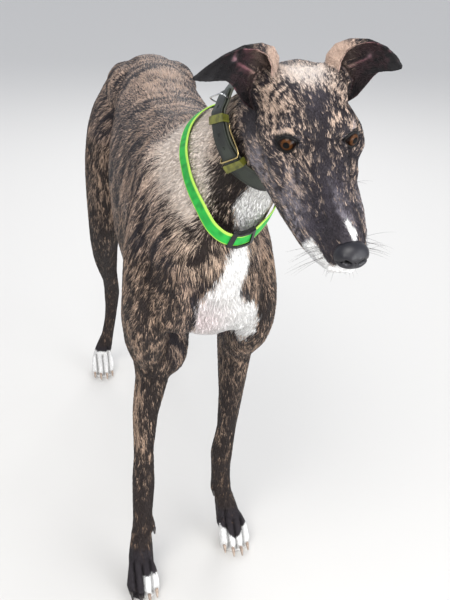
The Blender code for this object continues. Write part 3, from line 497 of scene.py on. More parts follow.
def body_forms(points, normals, trunk):
    """Ribs, the shoulder blade's edge, the groove of the loins and the muscles of the flank."""
    z = points[:, 2]
    slant = points[:, 1] + 0.45 * (z - 0.56)
    ribbed = trunk * np.abs(normals[:, 0]) * ramp(slant, -0.16, -0.09) * ramp(-slant, -0.11, -0.05)
    ribbed *= ramp(z, 0.42, 0.48) * ramp(-z, -0.66, -0.60)
    ribs = RIB_HEIGHT * np.sin(2 * math.pi * slant / RIB_SPACING) * ribbed
    return ribs + MM * lines(folded(points - (MIDDLE, 0, 0)), BODY_FORMS)


RIB_HEIGHT = 0.55 * MM
RIB_SPACING = 0.029
# Forms of the body, on its left side and mirrored: a line's two ends from the trunk's middle and its radius,
# in metres, and its height in mm.
BODY_FORMS = (
    ((0.050, -0.225, 0.700), (0.088, -0.255, 0.560), 0.008, 1.6),  # spine of the shoulder blade
    ((0.062, -0.150, 0.690), (0.094, -0.130, 0.540), 0.010, -1.5),  # behind the shoulder
    ((0, -0.140, 0.705), (0, 0.280, 0.715), 0.007, -1.3),  # groove of the back
    ((0.052, 0.190, 0.640), (0.060, 0.150, 0.580), 0.016, -2.5),  # hollow of the flank
    ((0.084, 0.265, 0.560), (0.092, 0.235, 0.440), 0.008, -1.6),  # between the muscles of the thigh
    ((0.050, 0.215, 0.690), (0.058, 0.245, 0.672), 0.009, 1.8),  # point of the hip
    ((0.000, -0.375, 0.640), (0.000, -0.395, 0.560), 0.007, -0.9),  # groove of the breast
    ((0.030, -0.335, 0.690), (0.050, -0.330, 0.600), 0.008, -1.4),  # groove of the jugular vein
)
# Forms of the legs: which, the levels that they run between, the angle round the leg's own middle from
# outwards over the back, the angle's half width, and the height in mm.
LEG_FORMS = (
    ("forearm", 0.20, 0.36, -38, 16, -1.1),
    ("forearm", 0.18, 0.30, 30, 16, -1.0),
    ("forearm", 0.18, 0.30, 150, 16, -1.0),
    ("fore_pastern", 0.07, 0.14, 38, 16, -0.9),
    ("fore_pastern", 0.07, 0.14, 142, 16, -0.9),
    ("shank", 0.24, 0.33, 40, 22, -3.0),
    ("shank", 0.24, 0.33, 140, 22, -3.0),
    ("hind_pastern", 0.07, 0.17, 40, 16, -1.0),
    ("hind_pastern", 0.07, 0.17, 140, 16, -1.0),
)


def from_middle(points, step):
    """How far each point lies, in plan, from the middle of the points at its own level."""
    level = np.round(points[:, 2] / step).astype(int)
    level -= level.min()
    count = np.maximum(np.bincount(level), 1)
    middle = np.stack([np.bincount(level, points[:, k]) / count for k in (0, 1)], axis=1)
    return points[:, :2] - middle[level]


def leg_forms(points, on_paw):
    """Tendons and grooves, placed by their angle round each leg, and the grooves between the toes."""
    rise = -TOE_GROOVE * on_paw * between_toes(points)
    for (leg, low, high, angle, width, height), (name, side) in itertools.product(LEG_FORMS, SIDES.items()):
        start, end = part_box(f"{leg}_{name}")
        inside = ((points > np.array(start) - 0.01) & (points < np.array(end) + 0.01)).all(axis=1)
        chosen = np.flatnonzero(inside & (points[:, 2] > low - 0.02) & (points[:, 2] < high + 0.02))
        away, z = from_middle(points[chosen], LEVEL_STEP), points[chosen, 2]
        turned = np.degrees(np.arctan2(away[:, 1], away[:, 0] * side)) - angle
        turned = (turned + 180) % 360 - 180
        window = ramp(z, low - 0.015, low + 0.015) * ramp(-z, -high - 0.015, -high + 0.015)
        rise[chosen] += height * MM * window * np.exp(-((turned / width) ** 2))
    return rise


TOE_GROOVE = 3.4 * MM
LEVEL_STEP = 0.008  # how far apart the levels are at which a leg's middle is taken


def between_toes(points):
    """1 in the middle of the grooves between the toes, seen from above, and near 0 on the toes."""
    level = points * (1, 1, 0)
    groove = np.zeros(len(points))
    for pair, name in itertools.product(("fore", "hind"), SIDES):
        toes = [centre_of(f"claw_{pair}_{name}_{toe}") for toe in ("inner", "mid_inner", "mid_outer", "outer")]
        for near, far in zip(toes, toes[1:]):
            x, y, _ = (near + far) / 2
            groove += band(level, (x, y - 0.004, 0), (x, y + 0.038, 0), 2.3 * MM)
    return np.clip(groove, 0, 1) * ramp(points[:, 2], 0.003, 0.008)


EYE_HALF_WIDTH = math.radians(62)
EYE_HALF_HEIGHT = math.radians(41)
EYE_SLANT = 0.10  # how far the opening falls for each step outwards
LID_REST = 12.0 * MM  # how far the edge of the lids lies from the eye's middle


def almond(local, side):
    """1 on the rim of the eye's opening, less inside and more outside. Its outer corner is the lower."""
    reach = np.linalg.norm(local, axis=1)
    across = np.arctan2(local[:, 0] * side, -local[:, 1])
    rise = np.arcsin(np.clip(local[:, 2] / reach, -1, 1)) + EYE_SLANT * across
    wide = np.abs(across / EYE_HALF_WIDTH) ** 1.6
    tall = np.abs(rise / EYE_HALF_HEIGHT) ** 1.6
    return (wide + tall) ** (1 / 1.6)


def around_eye(points, side):
    """Which points lie round an eye, and their places in the eye's frame."""
    local = in_frame(eye_frame(side), points)
    near = np.flatnonzero((np.linalg.norm(local, axis=1) < EYE_REGION) & (local[:, 1] < -2 * MM))
    return near, local[near]


def eye_gap(points):
    """How far each point is from the nearer eye's opening, by the almond, and more where off the lids."""
    gap = np.full(len(points), 9.0)
    for side in SIDES.values():
        near, local = around_eye(points, side)
        beyond = ramp(np.linalg.norm(local, axis=1), 13 * MM, 16 * MM)
        gap[near] = np.minimum(gap[near], almond(local, side) + beyond)
    return gap


def open_lids(mesh):
    """Sinks the skin behind each eye's opening and under the nose's leather, and lays it on the lids."""
    points = points_of(mesh)
    for side in SIDES.values():
        near, at = around_eye(points, side)
        reach = np.linalg.norm(at, axis=1)
        gap = almond(at, side)
        front = (10.3 + 3.5 * ramp(at[:, 2], 2 * MM, 12 * MM)) * MM
        free = np.minimum(reach, np.maximum(front * reach / -at[:, 1], LID_REST + 1.2 * MM))
        lid = LID_REST + ramp(gap, 1.10, 1.36) * (free - LID_REST)
        lid = reach + ramp(-gap, -3.2, -1.6) * (lid - reach)
        settled = np.where(gap < 1.0, np.minimum(reach, EYE_RADIUS - 2.5 * MM), lid)
        points[near] = out_of_frame(eye_frame(side), at / reach[:, None] * settled[:, None])
    gap = eye_gap(points)
    points = spread(points, edges_of(mesh), 10, 0.7 * ramp(gap, 1.12, 1.3) * ramp(-gap, -3.4, -2.6))
    middle = in_head(np.array(centre_of("nose")))
    local = in_head(points) - middle
    share = np.linalg.norm(local / np.array(NOSE_RADII), axis=1)
    under = np.flatnonzero(share < 1)
    sunk = share[under] - ramp(1 - share[under], 0, 0.05) * np.maximum(share[under] - 0.5, 0)
    points[under] = out_of_frame(HEAD, middle + local[under] * (sunk / share[under])[:, None])
    set_points(mesh, points)


# ---- markings ----
# The pale hairs by region, the other colours of the coat, and the lilac of a painted sheen.
PALE = {
    "head": linear(220, 194, 174),
    "ear": linear(206, 178, 160),
    "neck": linear(208, 182, 160),
    "trunk": linear(202, 174, 154),
    "limb": linear(190, 162, 140),
    "pastern": linear(156, 130, 110),
    "paw": linear(120, 98, 84),
    "tail": linear(150, 122, 102),
}
CREAM = linear(238, 224, 212)
CHARCOAL = linear(50, 45, 49)
UMBER = linear(52, 43, 39)
SHEEN_LILAC = linear(104, 98, 110)
# The lilac of a painted sheen on dark hair.
BLACK = linear(22, 20, 23)
GREY = linear(158, 152, 160)
WHITE = linear(250, 249, 247)
ROSE = linear(226, 196, 198)
CONCHA = linear(146, 98, 106)
NECK_AXIS = unit(np.array((0.30, -0.74, 0.60)))


def along_axis(points, axis):
    """Points turned so that an axis becomes their Y."""
    return points @ np.array(Vector((0, 1, 0)).rotation_difference(Vector(axis)).to_matrix())


def noises(points, size, seeds):
    return np.stack([noise(points, size, seed) for seed in seeds], axis=1)


def stripes(points, shares):
    """The brindle, over 0 where the coat is dark: round the trunk and neck, along the legs and face."""
    warp = noises(points, 0.045, (1, 2, 3))
    wavy = points + warp * 0.009
    slanted = wavy + np.array((0, 1, 0)) * (0.35 * (wavy[:, 2:3] - 0.56))
    limb = shares["limb"] + shares["pastern"] + shares["paw"] + shares["tail"]
    fields = (
        (shares["trunk"], slanted, (0.046, 0.0088, 0.046)),
        (shares["neck"], along_axis(wavy, NECK_AXIS), (0.013, 0.012, 0.013)),
        (limb, wavy, (0.0055, 0.0055, 0.020)),
        (shares["head"] + shares["ear"], in_head(points) + warp * 0.004, (0.0036, 0.0110, 0.0042)),
    )
    total = np.zeros(len(points))
    for seed, (share, where, size) in enumerate(fields):
        broad = noise(where, np.array(size), 11 + seed)
        fine = noise(where, np.array(size) * 0.45, 21 + seed)
        total += share * (0.56 * broad + 0.62 * fine)
    return total


# Where the brindle is darker or lighter, with one painted shadow under the right cheek: centre, radii and how
# much, in the row frame.
DARKER = (
    ((-0.095, -0.315, 0.500), (0.050, 0.080, 0.080), 0.10),  # front of the right shoulder
    ((0.060, -0.300, 0.480), (0.040, 0.060, 0.050), 0.35),
    # Painted shadow of the right cheek on the neck.
    ((-0.015, -0.372, 0.672), (0.022, 0.040, 0.042), 1.00),  # neck under the right cheek
    ((-0.030, -0.360, 0.610), (0.022, 0.030, 0.030), 0.55),
    ((-0.080, -0.200, 0.400), (0.030, 0.040, 0.050), 0.50),
    ((-0.130, 0.240, 0.400), (0.040, 0.080, 0.080), 0.35),
    ((-0.115, 0.300, 0.250), (0.050, 0.100, 0.120), 0.45),
)
LIGHTER = (
    ((-0.060, -0.285, 0.688), (0.034, 0.055, 0.046), 2.1),  # cream side of the neck
    ((-0.052, -0.330, 0.655), (0.024, 0.030, 0.040), 1.3),
    ((-0.040, -0.300, 0.735), (0.030, 0.050, 0.030), 1.2),
    ((-0.040, 0.060, 0.705), (0.060, 0.160, 0.030), 0.30),  # back
    ((0.055, -0.300, 0.580), (0.030, 0.050, 0.050), 0.55),  # left shoulder
    ((-0.120, -0.205, 0.300), (0.020, 0.030, 0.070), 1.00),  # outside of the right foreleg
    ((0.078, -0.150, 0.300), (0.014, 0.050, 0.110), 1.10),  # outside of the left foreleg
    ((0.070, -0.230, 0.440), (0.020, 0.050, 0.050), 0.70),
)
# The same on the head, in its own frame, in mm.
HEAD_DARKER = (
    ((0, 20, 26), (15, 24, 20), 0.50),  # middle of the forehead
    ((0, -16, 12), (16, 22, 14), 0.25),
    ((0, -75, -4), (17, 46, 17), 0.50),  # muzzle
    ((18, -115, -26), (14, 20, 14), 0.7),
    ((-14, -112, -16), (12, 24, 14), 0.8),
    ((-22, -92, -28), (12, 26, 12), 0.4),
    ((32, -6, -24), (12, 16, 14), 0.45),
    ((-33, -6, 5), (9, 9, 7), 0.5),
    ((-50, 58, -20), (12, 20, 22), 1.0),  # behind the cheeks, under the ears
    ((50, 58, -20), (12, 20, 22), 1.0),
)
HEAD_LIGHTER = (
    ((0, 62, 36), (24, 24, 18), 1.6),  # crown between the ears
    ((-36, 36, 14), (14, 20, 20), 0.75),  # right temple
    ((-42, 48, 0), (9, 16, 18), 0.6),
    ((36, 36, 14), (14, 22, 18), 0.5),
    ((-31, -48, -22), (6, 18, 10), 0.7),  # flecks below the eye
    ((31, -48, -22), (6, 18, 10), 0.6),
)
# Strokes of the face, in the same frame: two ends, radius and how much darker.
HEAD_STROKES = (
    ((-27, 47, 29), (-38, 43, 19), 2.4, 1.5),  # dark arcs of the right temple
    ((-38, 43, 19), (-46, 37, 0), 2.4, 1.4),
    ((-20, 42, 29), (-33, 33, 22), 2.0, 1.3),
    ((-33, 33, 22), (-42, 26, 3), 2.2, 1.2),
    ((-35, 52, 24), (-45, 48, 10), 2.6, -0.9),
    ((-24, 44, 30), (-40, 35, 12), 1.6, -0.8),
    ((-42, 5, 3), (-33, -5, 12), 2.8, -1.9),  # pale brow over the right eye
    ((-33, -5, 12), (-21, -16, 8), 1.8, -1.2),
    ((31, -7, 15), (37, -1, 9), 3.0, -1.8),  # and over the left
    ((20, 3, 22), (8, -8, 17), 2.0, -1.3),
    ((1, 52, 32), (1, 26, 29), 1.8, -1.0),
    ((-10, 42, 32), (-7, 24, 29), 1.6, -0.7),
    ((22, 40, 30), (34, 22, 18), 2.2, -0.7),
    ((-16, -28, 4), (-22, -50, -8), 2.4, -0.8),
    ((12, -28, 5), (10, -56, 0), 1.8, -0.6),
)
# Grey hairs mixed into the face.
HEAD_FROSTED = (
    ((-36, 0, 8), (9, 8, 6), 0.6),
    ((33, -5, 12), (7, 7, 6), 0.6),
    ((-46, 20, -52), (14, 36, 20), 1.1),
    ((46, 20, -52), (14, 36, 20), 1.1),
    ((-32, -62, -46), (9, 42, 11), 1.1),
    ((32, -62, -46), (9, 42, 11), 1.1),
    ((-30, -40, -26), (9, 30, 14), 0.5),
    ((2, -108, -5), (6, 20, 8), 0.9),  # round the snip
    ((-24, -10, 3), (5, 7, 5), 0.7),  # inner corner of the eye
    ((24, -10, 3), (5, 7, 5), 0.6),
    ((-4, -92, -4), (3, 26, 7), 0.75),
    ((0, 60, 36), (24, 20, 16), 0.35),
)
# A painted sheen: lilac over the dark hair of the muzzle and forehead, where they catch the light.
HEAD_PAINTED_SHEEN = (
    ((0, -85, -6), (20, 46, 16), 0.26),  # muzzle
    ((-24, -85, -30), (12, 40, 16), 0.25),
    ((0, 22, 28), (14, 22, 14), 0.22),
)
# White: centre, radii and how much, in the head's frame in mm, and on the body in metres.
HEAD_WHITE = (
    ((0, -120, -60), (34, 38, 18), 1.3),  # chin
    ((-25, -112, -48), (9, 18, 9), 1.0),
    ((24, -114, -48), (9, 16, 9), 1.0),
    ((2, -125, -10), (5.5, 9, 7), 0.85),  # snip
    ((-1, -114, -6), (3.2, 8, 6), 0.55),
)
# Lines of white: two ends, radius and how much.
THROAT = (
    ((0.022, -0.400, 0.672), (0.024, -0.352, 0.622), 0.030, 1),
    ((0.024, -0.360, 0.640), (0.006, -0.362, 0.580), 0.022, 1),
    ((0.006, -0.362, 0.585), (-0.012, -0.366, 0.552), 0.0125, 1),
    ((-0.014, -0.366, 0.550), (-0.016, -0.366, 0.535), 0.012, 1),
)
CHEST = (
    ((-0.024, -0.365, 0.520), (0.024, 0.050, 0.026), 1.15),
    ((0.004, -0.345, 0.490), (0.032, 0.050, 0.030), 1.15),
    ((-0.038, -0.335, 0.475), (0.012, 0.040, 0.040), 1.1),
    ((0.014, -0.300, 0.455), (0.027, 0.050, 0.035), 1.1),
    ((-0.029, -0.270, 0.440), (0.030, 0.080, 0.036), 1.1),
)


def toe_white(points, on_paw):
    """White toes: all on the left fore paw and the hind paws, and the inner two on the right fore paw."""
    white = np.zeros(len(points))
    for pair, name in itertools.product(("fore", "hind"), SIDES):
        low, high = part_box(f"{pair}_paw_{name}")
        plan = points[:, :2]
        near = ((plan > np.array(low)[:2] - 0.01) & (plan < np.array(high)[:2] + 0.01)).all(axis=1)
        off_middle = points[:, 0] - (low.x + high.x) / 2
        top, back = (0.030, 0.55) if pair == "fore" else (0.046, 0.9)
        if (pair, name) == ("fore", "left"):  # a dark wedge comes down between the middle toes
            top = 0.022 + 0.016 * np.abs(off_middle) / (high.x - low.x) * 2
        field = ramp(-(points[:, 1] - low.y) / (high.y - low.y), -back - 0.1, -back + 0.1)
        field = field * ramp(-points[:, 2], -top - 0.006, -top + 0.006)
        if (pair, name) == ("fore", "right"):
            field *= ramp(off_middle, -0.002, 0.002)
        white = np.maximum(white, near * field * on_paw)
    return white


def markings(points, normals, weights, chance):
    """The coat's colour at each point. chance, from -1 to 1, tells one tuft from the next."""
    shares = by_region(weights)
    head = in_head(points)
    on_head = shares["head"] + shares["ear"]
    off_head = 1 - on_head
    dark = stripes(points, shares) + 0.58 * chance
    low_limb = shares["limb"] * ramp(-points[:, 2], -0.44, -0.28)
    dark += 0.26 + 0.30 * low_limb + 0.46 * shares["pastern"] + 0.75 * shares["paw"] + 0.20 * shares["tail"]
    dark += off_head * (patches(points, DARKER) - patches(points, LIGHTER))
    dark += on_head * (
        0.16
        + patches(head, HEAD_DARKER, MM)
        - patches(head, HEAD_LIGHTER, MM)
        + lines(head / MM, HEAD_STROKES)
    )
    cream = off_head * patches(points, LIGHTER[:3]) + on_head * patches(head, HEAD_LIGHTER[:1], MM)
    light = mix(weights @ np.array([PALE[name] for name in REGIONS]), CREAM, np.clip(cream, 0, 1))
    brown = np.clip(shares["limb"] + shares["neck"] + shares["pastern"], 0, 1)
    colour = mix(light, mix(CHARCOAL, UMBER, brown * 0.8), ramp(dark, -0.28, 0.28))
    frost = on_head * patches(head, HEAD_FROSTED, MM)
    colour = mix(colour, GREY, np.clip(frost * (0.55 + 0.9 * noise(head, 0.004, 31) + 0.5 * chance), 0, 0.9))
    # Painted sheen: lilac mixed over the muzzle and forehead.
    painted_sheen = on_head * patches(head, HEAD_PAINTED_SHEEN, MM) * (1 + 0.9 * noise(head, 0.003, 32) + 0.6 * chance)
    colour = mix(colour, SHEEN_LILAC, np.clip(painted_sheen, 0, 0.8))
    inside = inside_ear(head, turned_to_head(normals))
    colour = ear_colours(colour, head, ramp(shares["ear"], 0.3, 0.7), inside, chance)
    white = on_head * patches(head, HEAD_WHITE, MM) + off_head * patches(points, CHEST)
    white = white + (off_head + 0.6 * shares["head"]) * lines(points, THROAT)
    white += 1.2 * toe_white(points, shares["paw"])
    white += 0.16 * noise(points, 0.007, 41) + 0.10 * chance
    white = ramp(white, 0.42, 0.58)
    colour = mix(colour, WHITE, white)
    # Painted shade in the grooves between the toes.
    colour = colour * (1 - 0.55 * shares["paw"] * between_toes(points))[:, None]
    colour = mix(colour, BLACK, 0.92 * ramp(-eye_gap(points), -1.62, -1.34))
    pink = blob(points, (-0.045, -0.350, 0.500), (0.030, 0.050, 0.035)) * white
    return mix(colour, ROSE, 0.5 * pink)


# The knobs of the ears' hollows, in the head's frame, in mm.
EAR_KNOBS = (((-74, 63, 50), (5, 5, 5), 1.0), ((61, 65, 43), (5, 5, 5), 1.0))


def inside_ear(head, normals):
    """1 on the hollow side of an ear, 0 on its back, and between at its margin, in the head's frame."""
    away = np.stack([-0.60 * np.sign(head[:, 0]), np.full(len(head), 0.75), np.full(len(head), 0.27)], axis=1)
    return 0.5 - 0.5 * (normals * away).sum(axis=1)


def ear_colours(colour, head, on_ear, inside, chance):
    """Pale hair at the root of the back, black velvet at tip and margins, a dark rose hollow, painted
    highlights on its knobs.
    """
    out = np.abs(head[:, 0]) / MM + 5 * noise(head, 0.008, 51) + 4 * chance
    back = mix(colour, BLACK, 0.97 * ramp(out, 46, 56))
    back = mix(back, PALE["ear"], 0.8 * ramp(-out, -46, -36))
    hollow = mix(CONCHA, BLACK, ramp(out + 14 * noise(head, 0.005, 52), 62, 80))
    hollow = mix(hollow, PALE["ear"], 0.75 * ramp(-out - 5 * chance, -60, -46))
    # Painted highlight: grey over the knobs of the hollow.
    hollow = mix(hollow, GREY, 0.35 * patches(head, EAR_KNOBS, MM))
    edge = np.maximum(ramp(-np.abs(inside - 0.5), -0.36, -0.22), ramp(-head[:, 2], -18 * MM, -10 * MM))
    hollow = mix(hollow, BLACK, 0.9 * edge)
    return mix(colour, mix(back, hollow, ramp(inside, 0.52, 0.68)), on_ear)


# ---- coat ----
# The lie of the coat: at each place, the way that the hair points, in the row frame. It is blended between.
LIE = (
    ((-0.03, -0.20, 0.72), (0.0, 1.0, -0.15)),
    ((-0.03, 0.10, 0.71), (0.0, 1.0, -0.10)),
    ((-0.03, 0.30, 0.66), (0.0, 0.8, -0.6)),
    ((0.07, -0.05, 0.58), (0.0, 0.75, -0.65)),
    ((-0.13, -0.05, 0.58), (0.0, 0.75, -0.65)),
    ((0.05, 0.12, 0.60), (0.0, 0.8, -0.6)),
    ((-0.11, 0.12, 0.60), (0.0, 0.8, -0.6)),
    ((-0.03, -0.05, 0.40), (0.0, 1.0, 0.0)),
    ((0.07, 0.27, 0.52), (0.0, 0.35, -0.95)),
    ((-0.13, 0.27, 0.52), (0.0, 0.35, -0.95)),
    ((0.06, -0.26, 0.60), (0.0, 0.45, -0.9)),
    ((-0.12, -0.26, 0.60), (0.0, 0.45, -0.9)),
    ((-0.03, -0.38, 0.56), (0.0, 0.1, -1.0)),
    ((-0.03, -0.34, 0.48), (0.0, 0.6, -0.8)),
    ((-0.02, -0.28, 0.74), (-0.35, 0.8, -0.4)),
    ((0.03, -0.34, 0.64), (-0.3, 0.35, -0.9)),
    ((-0.05, -0.31, 0.67), (-0.45, 0.55, -0.75)),
    ((0.06, -0.20, 0.30), (0.0, 0.15, -1.0)),
    ((-0.11, -0.22, 0.30), (0.0, 0.15, -1.0)),
    ((0.05, 0.42, 0.25), (0.0, 0.25, -1.0)),
    ((-0.12, 0.38, 0.25), (0.0, 0.25, -1.0)),
    ((-0.03, 0.43, 0.35), (0.0, 0.0, -1.0)),
)
HEAD_LIE = (
    ((0, -130, -15), (0, 1, 0.25)),
    ((0, -60, 0), (0, 1, 0.30)),
    ((0, 10, 25), (0, 1, 0.45)),
    ((0, 60, 34), (0, 1, -0.1)),
    ((34, -60, -30), (0.1, 1, -0.1)),
    ((-34, -60, -30), (-0.1, 1, -0.1)),
    ((45, 20, -30), (0.1, 1, -0.25)),
    ((-45, 20, -30), (-0.1, 1, -0.25)),
    ((40, 45, 10), (0.5, 0.8, 0.3)),
    ((-40, 45, 10), (-0.5, 0.8, 0.3)),
    ((0, -60, -75), (0, 1, -0.1)),
    ((75, 60, 40), (1, -0.2, 0.15)),
    ((-75, 60, 40), (-1, -0.2, 0.15)),
)


def blended(points, table, scale):
    """The ways of the table's places, each of more weight the nearer it is."""
    total = np.zeros((len(points), 3))
    for place, way in table:
        gap = ((points - np.array(place) * scale) ** 2).sum(axis=1)
        total += unit(np.array(way, float)) / (gap + (30 * MM) ** 2)[:, None] ** 2
    return unit(total)


def lie_of_coat(points, normals, weights):
    """The way that the hair points, along the skin."""
    shares = by_region(weights)
    on_head = np.clip(shares["head"] + shares["ear"], 0, 1)[:, None]
    head = turned_from_head(blended(in_head(points), HEAD_LIE, MM))
    way = blended(points, LIE, 1.0) * (1 - on_head) + head * on_head
    way = way + 0.30 * noises(points, 0.035, (61, 62, 63))
    return unit(way - normals * (way * normals).sum(axis=1, keepdims=True))


class Skin:
    """The skin's triangles with what the coat reads from them."""

    def __init__(self, mesh, weights):
        mesh.calc_loop_triangles()
        self.corners = read(mesh.loop_triangles, "vertices", 3, np.int32)
        self.points, self.normals, self.weights = points_of(mesh), points_of(mesh, "normal"), weights
        a, b, c = (self.points[self.corners[:, k]] for k in range(3))
        self.areas = np.linalg.norm(np.cross(b - a, c - a), axis=1) / 2
        self.tree = BVHTree.FromPolygons(self.points.tolist(), self.corners.tolist())

    def middles(self, values):
        """The mean of a value over each triangle."""
        return values[self.corners].mean(axis=1)

    def scatter(self, count_per_area, rng):
        """Random roots over the skin: for each, its triangle and its shares of the triangle's corners."""
        expected = self.areas * count_per_area
        counts = np.floor(expected + rng.random(len(expected))).astype(int)
        chosen = np.repeat(np.arange(len(counts)), counts)
        first, second = rng.random((2, len(chosen)))
        outside = first + second > 1
        first[outside], second[outside] = 1 - first[outside], 1 - second[outside]
        return chosen, np.stack([1 - first - second, first, second], axis=1)

    def at(self, values, chosen, shares):
        return (values[self.corners[chosen]] * shares[..., None]).sum(axis=1)

    def cover(self):
        """1 on triangles with a coat, less in the ears, and 0 at the eyes, nose and soles."""
        centres = self.middles(self.points)
        head = in_head(centres)
        inside = inside_ear(head, turned_to_head(unit(self.middles(self.normals))))
        on_ear = ramp(by_region(self.middles(self.weights))["ear"], 0.4, 0.7)
        keep = 1 - 0.93 * on_ear * ramp(inside, 0.62, 0.72) * ramp(np.abs(head[:, 0]), 0.050, 0.060)
        keep[eye_gap(centres) < 1.13] = 0
        seat = head - in_head(np.array(centre_of("nose")))
        keep[((seat / (np.array(NOSE_RADII) + 0.2 * MM)) ** 2).sum(axis=1) < 1] = 0
        keep[centres[:, 2] < 2.5 * MM] = 0
        return keep


# Where the hair is longer and stands off: two ends, radius and how much, in the row frame.
FRINGE = (
    ((0.020, -0.395, 0.665), (-0.014, -0.370, 0.550), 0.016, 0.7),  # throat
    ((-0.029, -0.362, 0.535), (-0.029, -0.290, 0.455), 0.022, 0.8),  # forechest
    ((-0.029, -0.230, 0.385), (-0.029, -0.020, 0.370), 0.026, 0.6),  # breastbone
    ((-0.105, 0.400, 0.540), (-0.118, 0.355, 0.400), 0.020, 0.8),  # back of the right thigh
    ((0.047, 0.400, 0.540), (0.058, 0.400, 0.400), 0.020, 0.8),
    ((-0.029, 0.440, 0.560), (-0.029, 0.455, 0.230), 0.014, 0.9),  # underside of the tail
)


def piece_of(points, weights):
    """The name of the coat piece that each tuft belongs to."""
    region = np.array(list(REGIONS))[weights.argmax(axis=1)]
    off_middle = np.where(region == "head", in_head(points)[:, 0], points[:, 0] - MIDDLE)
    rear = points[:, 1] > 0.10
    part = np.where(region == "trunk", np.where(rear, "back_", "chest_"), np.where(rear, "hind_", "fore_"))
    part = np.char.add(np.where(region == "head", "head_", part), np.where(off_middle < 0, "right", "left"))
    return np.select([region == "ear", region == "neck", region == "tail"], ["ears", "neck", "tail"], part)


def unwrapped(points, normals, piece):
    """Each root's place on the piece's own unwrapping: round its axis and along it. The backs and the hollows
    of the ears lie side by side."""
    if piece == "ears":
        local = in_head(points)
        hollow = inside_ear(local, turned_to_head(normals)) > 0.5
        turn, along = local[:, 1] + 0.5 * local[:, 2] + 0.12 * hollow, local[:, 0]
    elif piece.startswith("head"):
        local = in_head(points)
        turn, along = np.arctan2(local[:, 0], local[:, 2] + 0.03), local[:, 1]
    elif piece.startswith(("fore", "hind", "tail")):
        away = from_middle(points, LEVEL_STEP)
        turn, along = np.arctan2(away[:, 1], away[:, 0]), points[:, 2]
    elif piece == "neck":
        local = along_axis(points - np.array(SEAM_PLACE), NECK_AXIS)
        turn, along = np.arctan2(local[:, 0], local[:, 2]), local[:, 1]
    else:
        turn, along = np.arctan2(points[:, 2] - 0.57, points[:, 0] - MIDDLE), points[:, 1]
        if piece.endswith("right"):
            turn = turn % (2 * math.pi)
    chart = np.stack([turn, along], axis=1)
    low, high = chart.min(axis=0), chart.max(axis=0)
    return 0.004 + 0.992 * (chart - low) / np.maximum(high - low, 1e-9)


# A tuft's corners are its root's left and right, its underside and its tip: their places on its patch of the
# unwrapping, how bright each is (painted shade at the root and underside, painted light on the tip), and the
# faces between them.
PATCH_CORNERS = np.array(((-0.5, -0.5), (0.5, -0.5), (0.0, -0.2), (0.0, 0.5))) * 0.003
TUFT_SHADING = np.array((0.88, 0.88, 0.70, 1.12))
TUFT_FACES = np.array(((0, 1, 3), (0, 3, 2), (1, 2, 3), (0, 2, 1)))


def make_coat(skin, material):
    """Closed spikes of four faces, rooted under the skin and lying along it, in a piece for each part."""
    rng = np.random.default_rng(7)
    per_area = skin.middles(skin.weights) @ np.array([1 / (spec[AREA] * MM * MM) for spec in REGIONS.values()])
    chosen, shares = skin.scatter(per_area * skin.cover(), rng)
    roots = skin.at(skin.points, chosen, shares)
    normals = unit(skin.at(skin.normals, chosen, shares))
    weights = skin.at(skin.weights, chosen, shares)
    count = len(roots)
    ways = lie_of_coat(roots, normals, weights)
    ways = unit(ways + 0.16 * np.cross(normals, ways) * rng.standard_normal((count, 1)))
    length, width, depth = (per_region(weights, column) for column in (LENGTH, WIDTH, DEPTH))
    length *= rng.uniform(0.7, 1.25, count) * (1 - 0.5 * near_eyes(roots))
    width *= rng.uniform(0.75, 1.25, count)
    fringe = lines(roots, FRINGE)
    length *= 1 + 0.5 * fringe
    rise = depth * rng.uniform(0.35, 0.95, count) + 2.2 * MM * fringe * rng.random(count)
    tips = roots + ways * length[:, None]
    for row in range(count):
        near, normal, _, _ = skin.tree.find_nearest(tips[row])
        tips[row] = near + normal * rise[row]
    reach = np.linalg.norm(tips - roots, axis=1)
    steep = ((tips - roots) * normals).sum(axis=1) / reach
    sound = (reach > 0.5 * length) & (reach < 1.4 * length) & (np.abs(steep) < 0.55)
    chance = rng.uniform(-1, 1, count)
    colours = markings(roots, normals, weights, chance) * rng.uniform(0.80, 1.20, (count, 1))
    across = np.cross(normals, ways) * width[:, None] / 2
    above = normals * (depth * 0.30)[:, None]
    under = normals * (0.5 * MM)
    corners = np.stack([roots - across + above, roots + across + above, roots - under, tips], axis=1)
    pick = piece_of(roots, weights)
    made = []
    for piece in sorted(set(pick)):
        rows = np.flatnonzero((pick == piece) & sound)
        charts = unwrapped(roots[rows], normals[rows], piece)
        made.append(tuft_mesh(f"coat_{piece}", corners[rows], colours[rows], charts, material))
    return made


def tuft_mesh(name, corners, colours, charts, material):
    """A coat piece, from the four corners of each tuft, its colour and its place on the piece's
    unwrapping."""
    count = len(corners)
    faces = (TUFT_FACES[None] + 4 * np.arange(count)[:, None, None]).reshape(-1)
    mesh = bpy.data.meshes.new(name)
    mesh.vertices.add(4 * count)
    mesh.loops.add(12 * count)
    mesh.polygons.add(4 * count)
    mesh.vertices.foreach_set("co", corners.astype(np.float32).ravel())
    mesh.loops.foreach_set("vertex_index", faces.astype(np.int32))
    mesh.polygons.foreach_set("loop_start", np.arange(0, 12 * count, 3, dtype=np.int32))
    mesh.update(calc_edges=True)
    # The corners' colours carry painted shade at the root and underside and painted light on the tip.
    set_colours(mesh, "coat", (colours[:, None, :] * TUFT_SHADING[None, :, None]).reshape(-1, 3))
    places = (charts[:, None, :] + PATCH_CORNERS[None]).reshape(-1, 2)[faces]
    mesh.uv_layers.new(name="OFBake").data.foreach_set("uv", places.astype(np.float32).ravel())
    mesh.shade_smooth()
    return new_object(name, mesh, material)


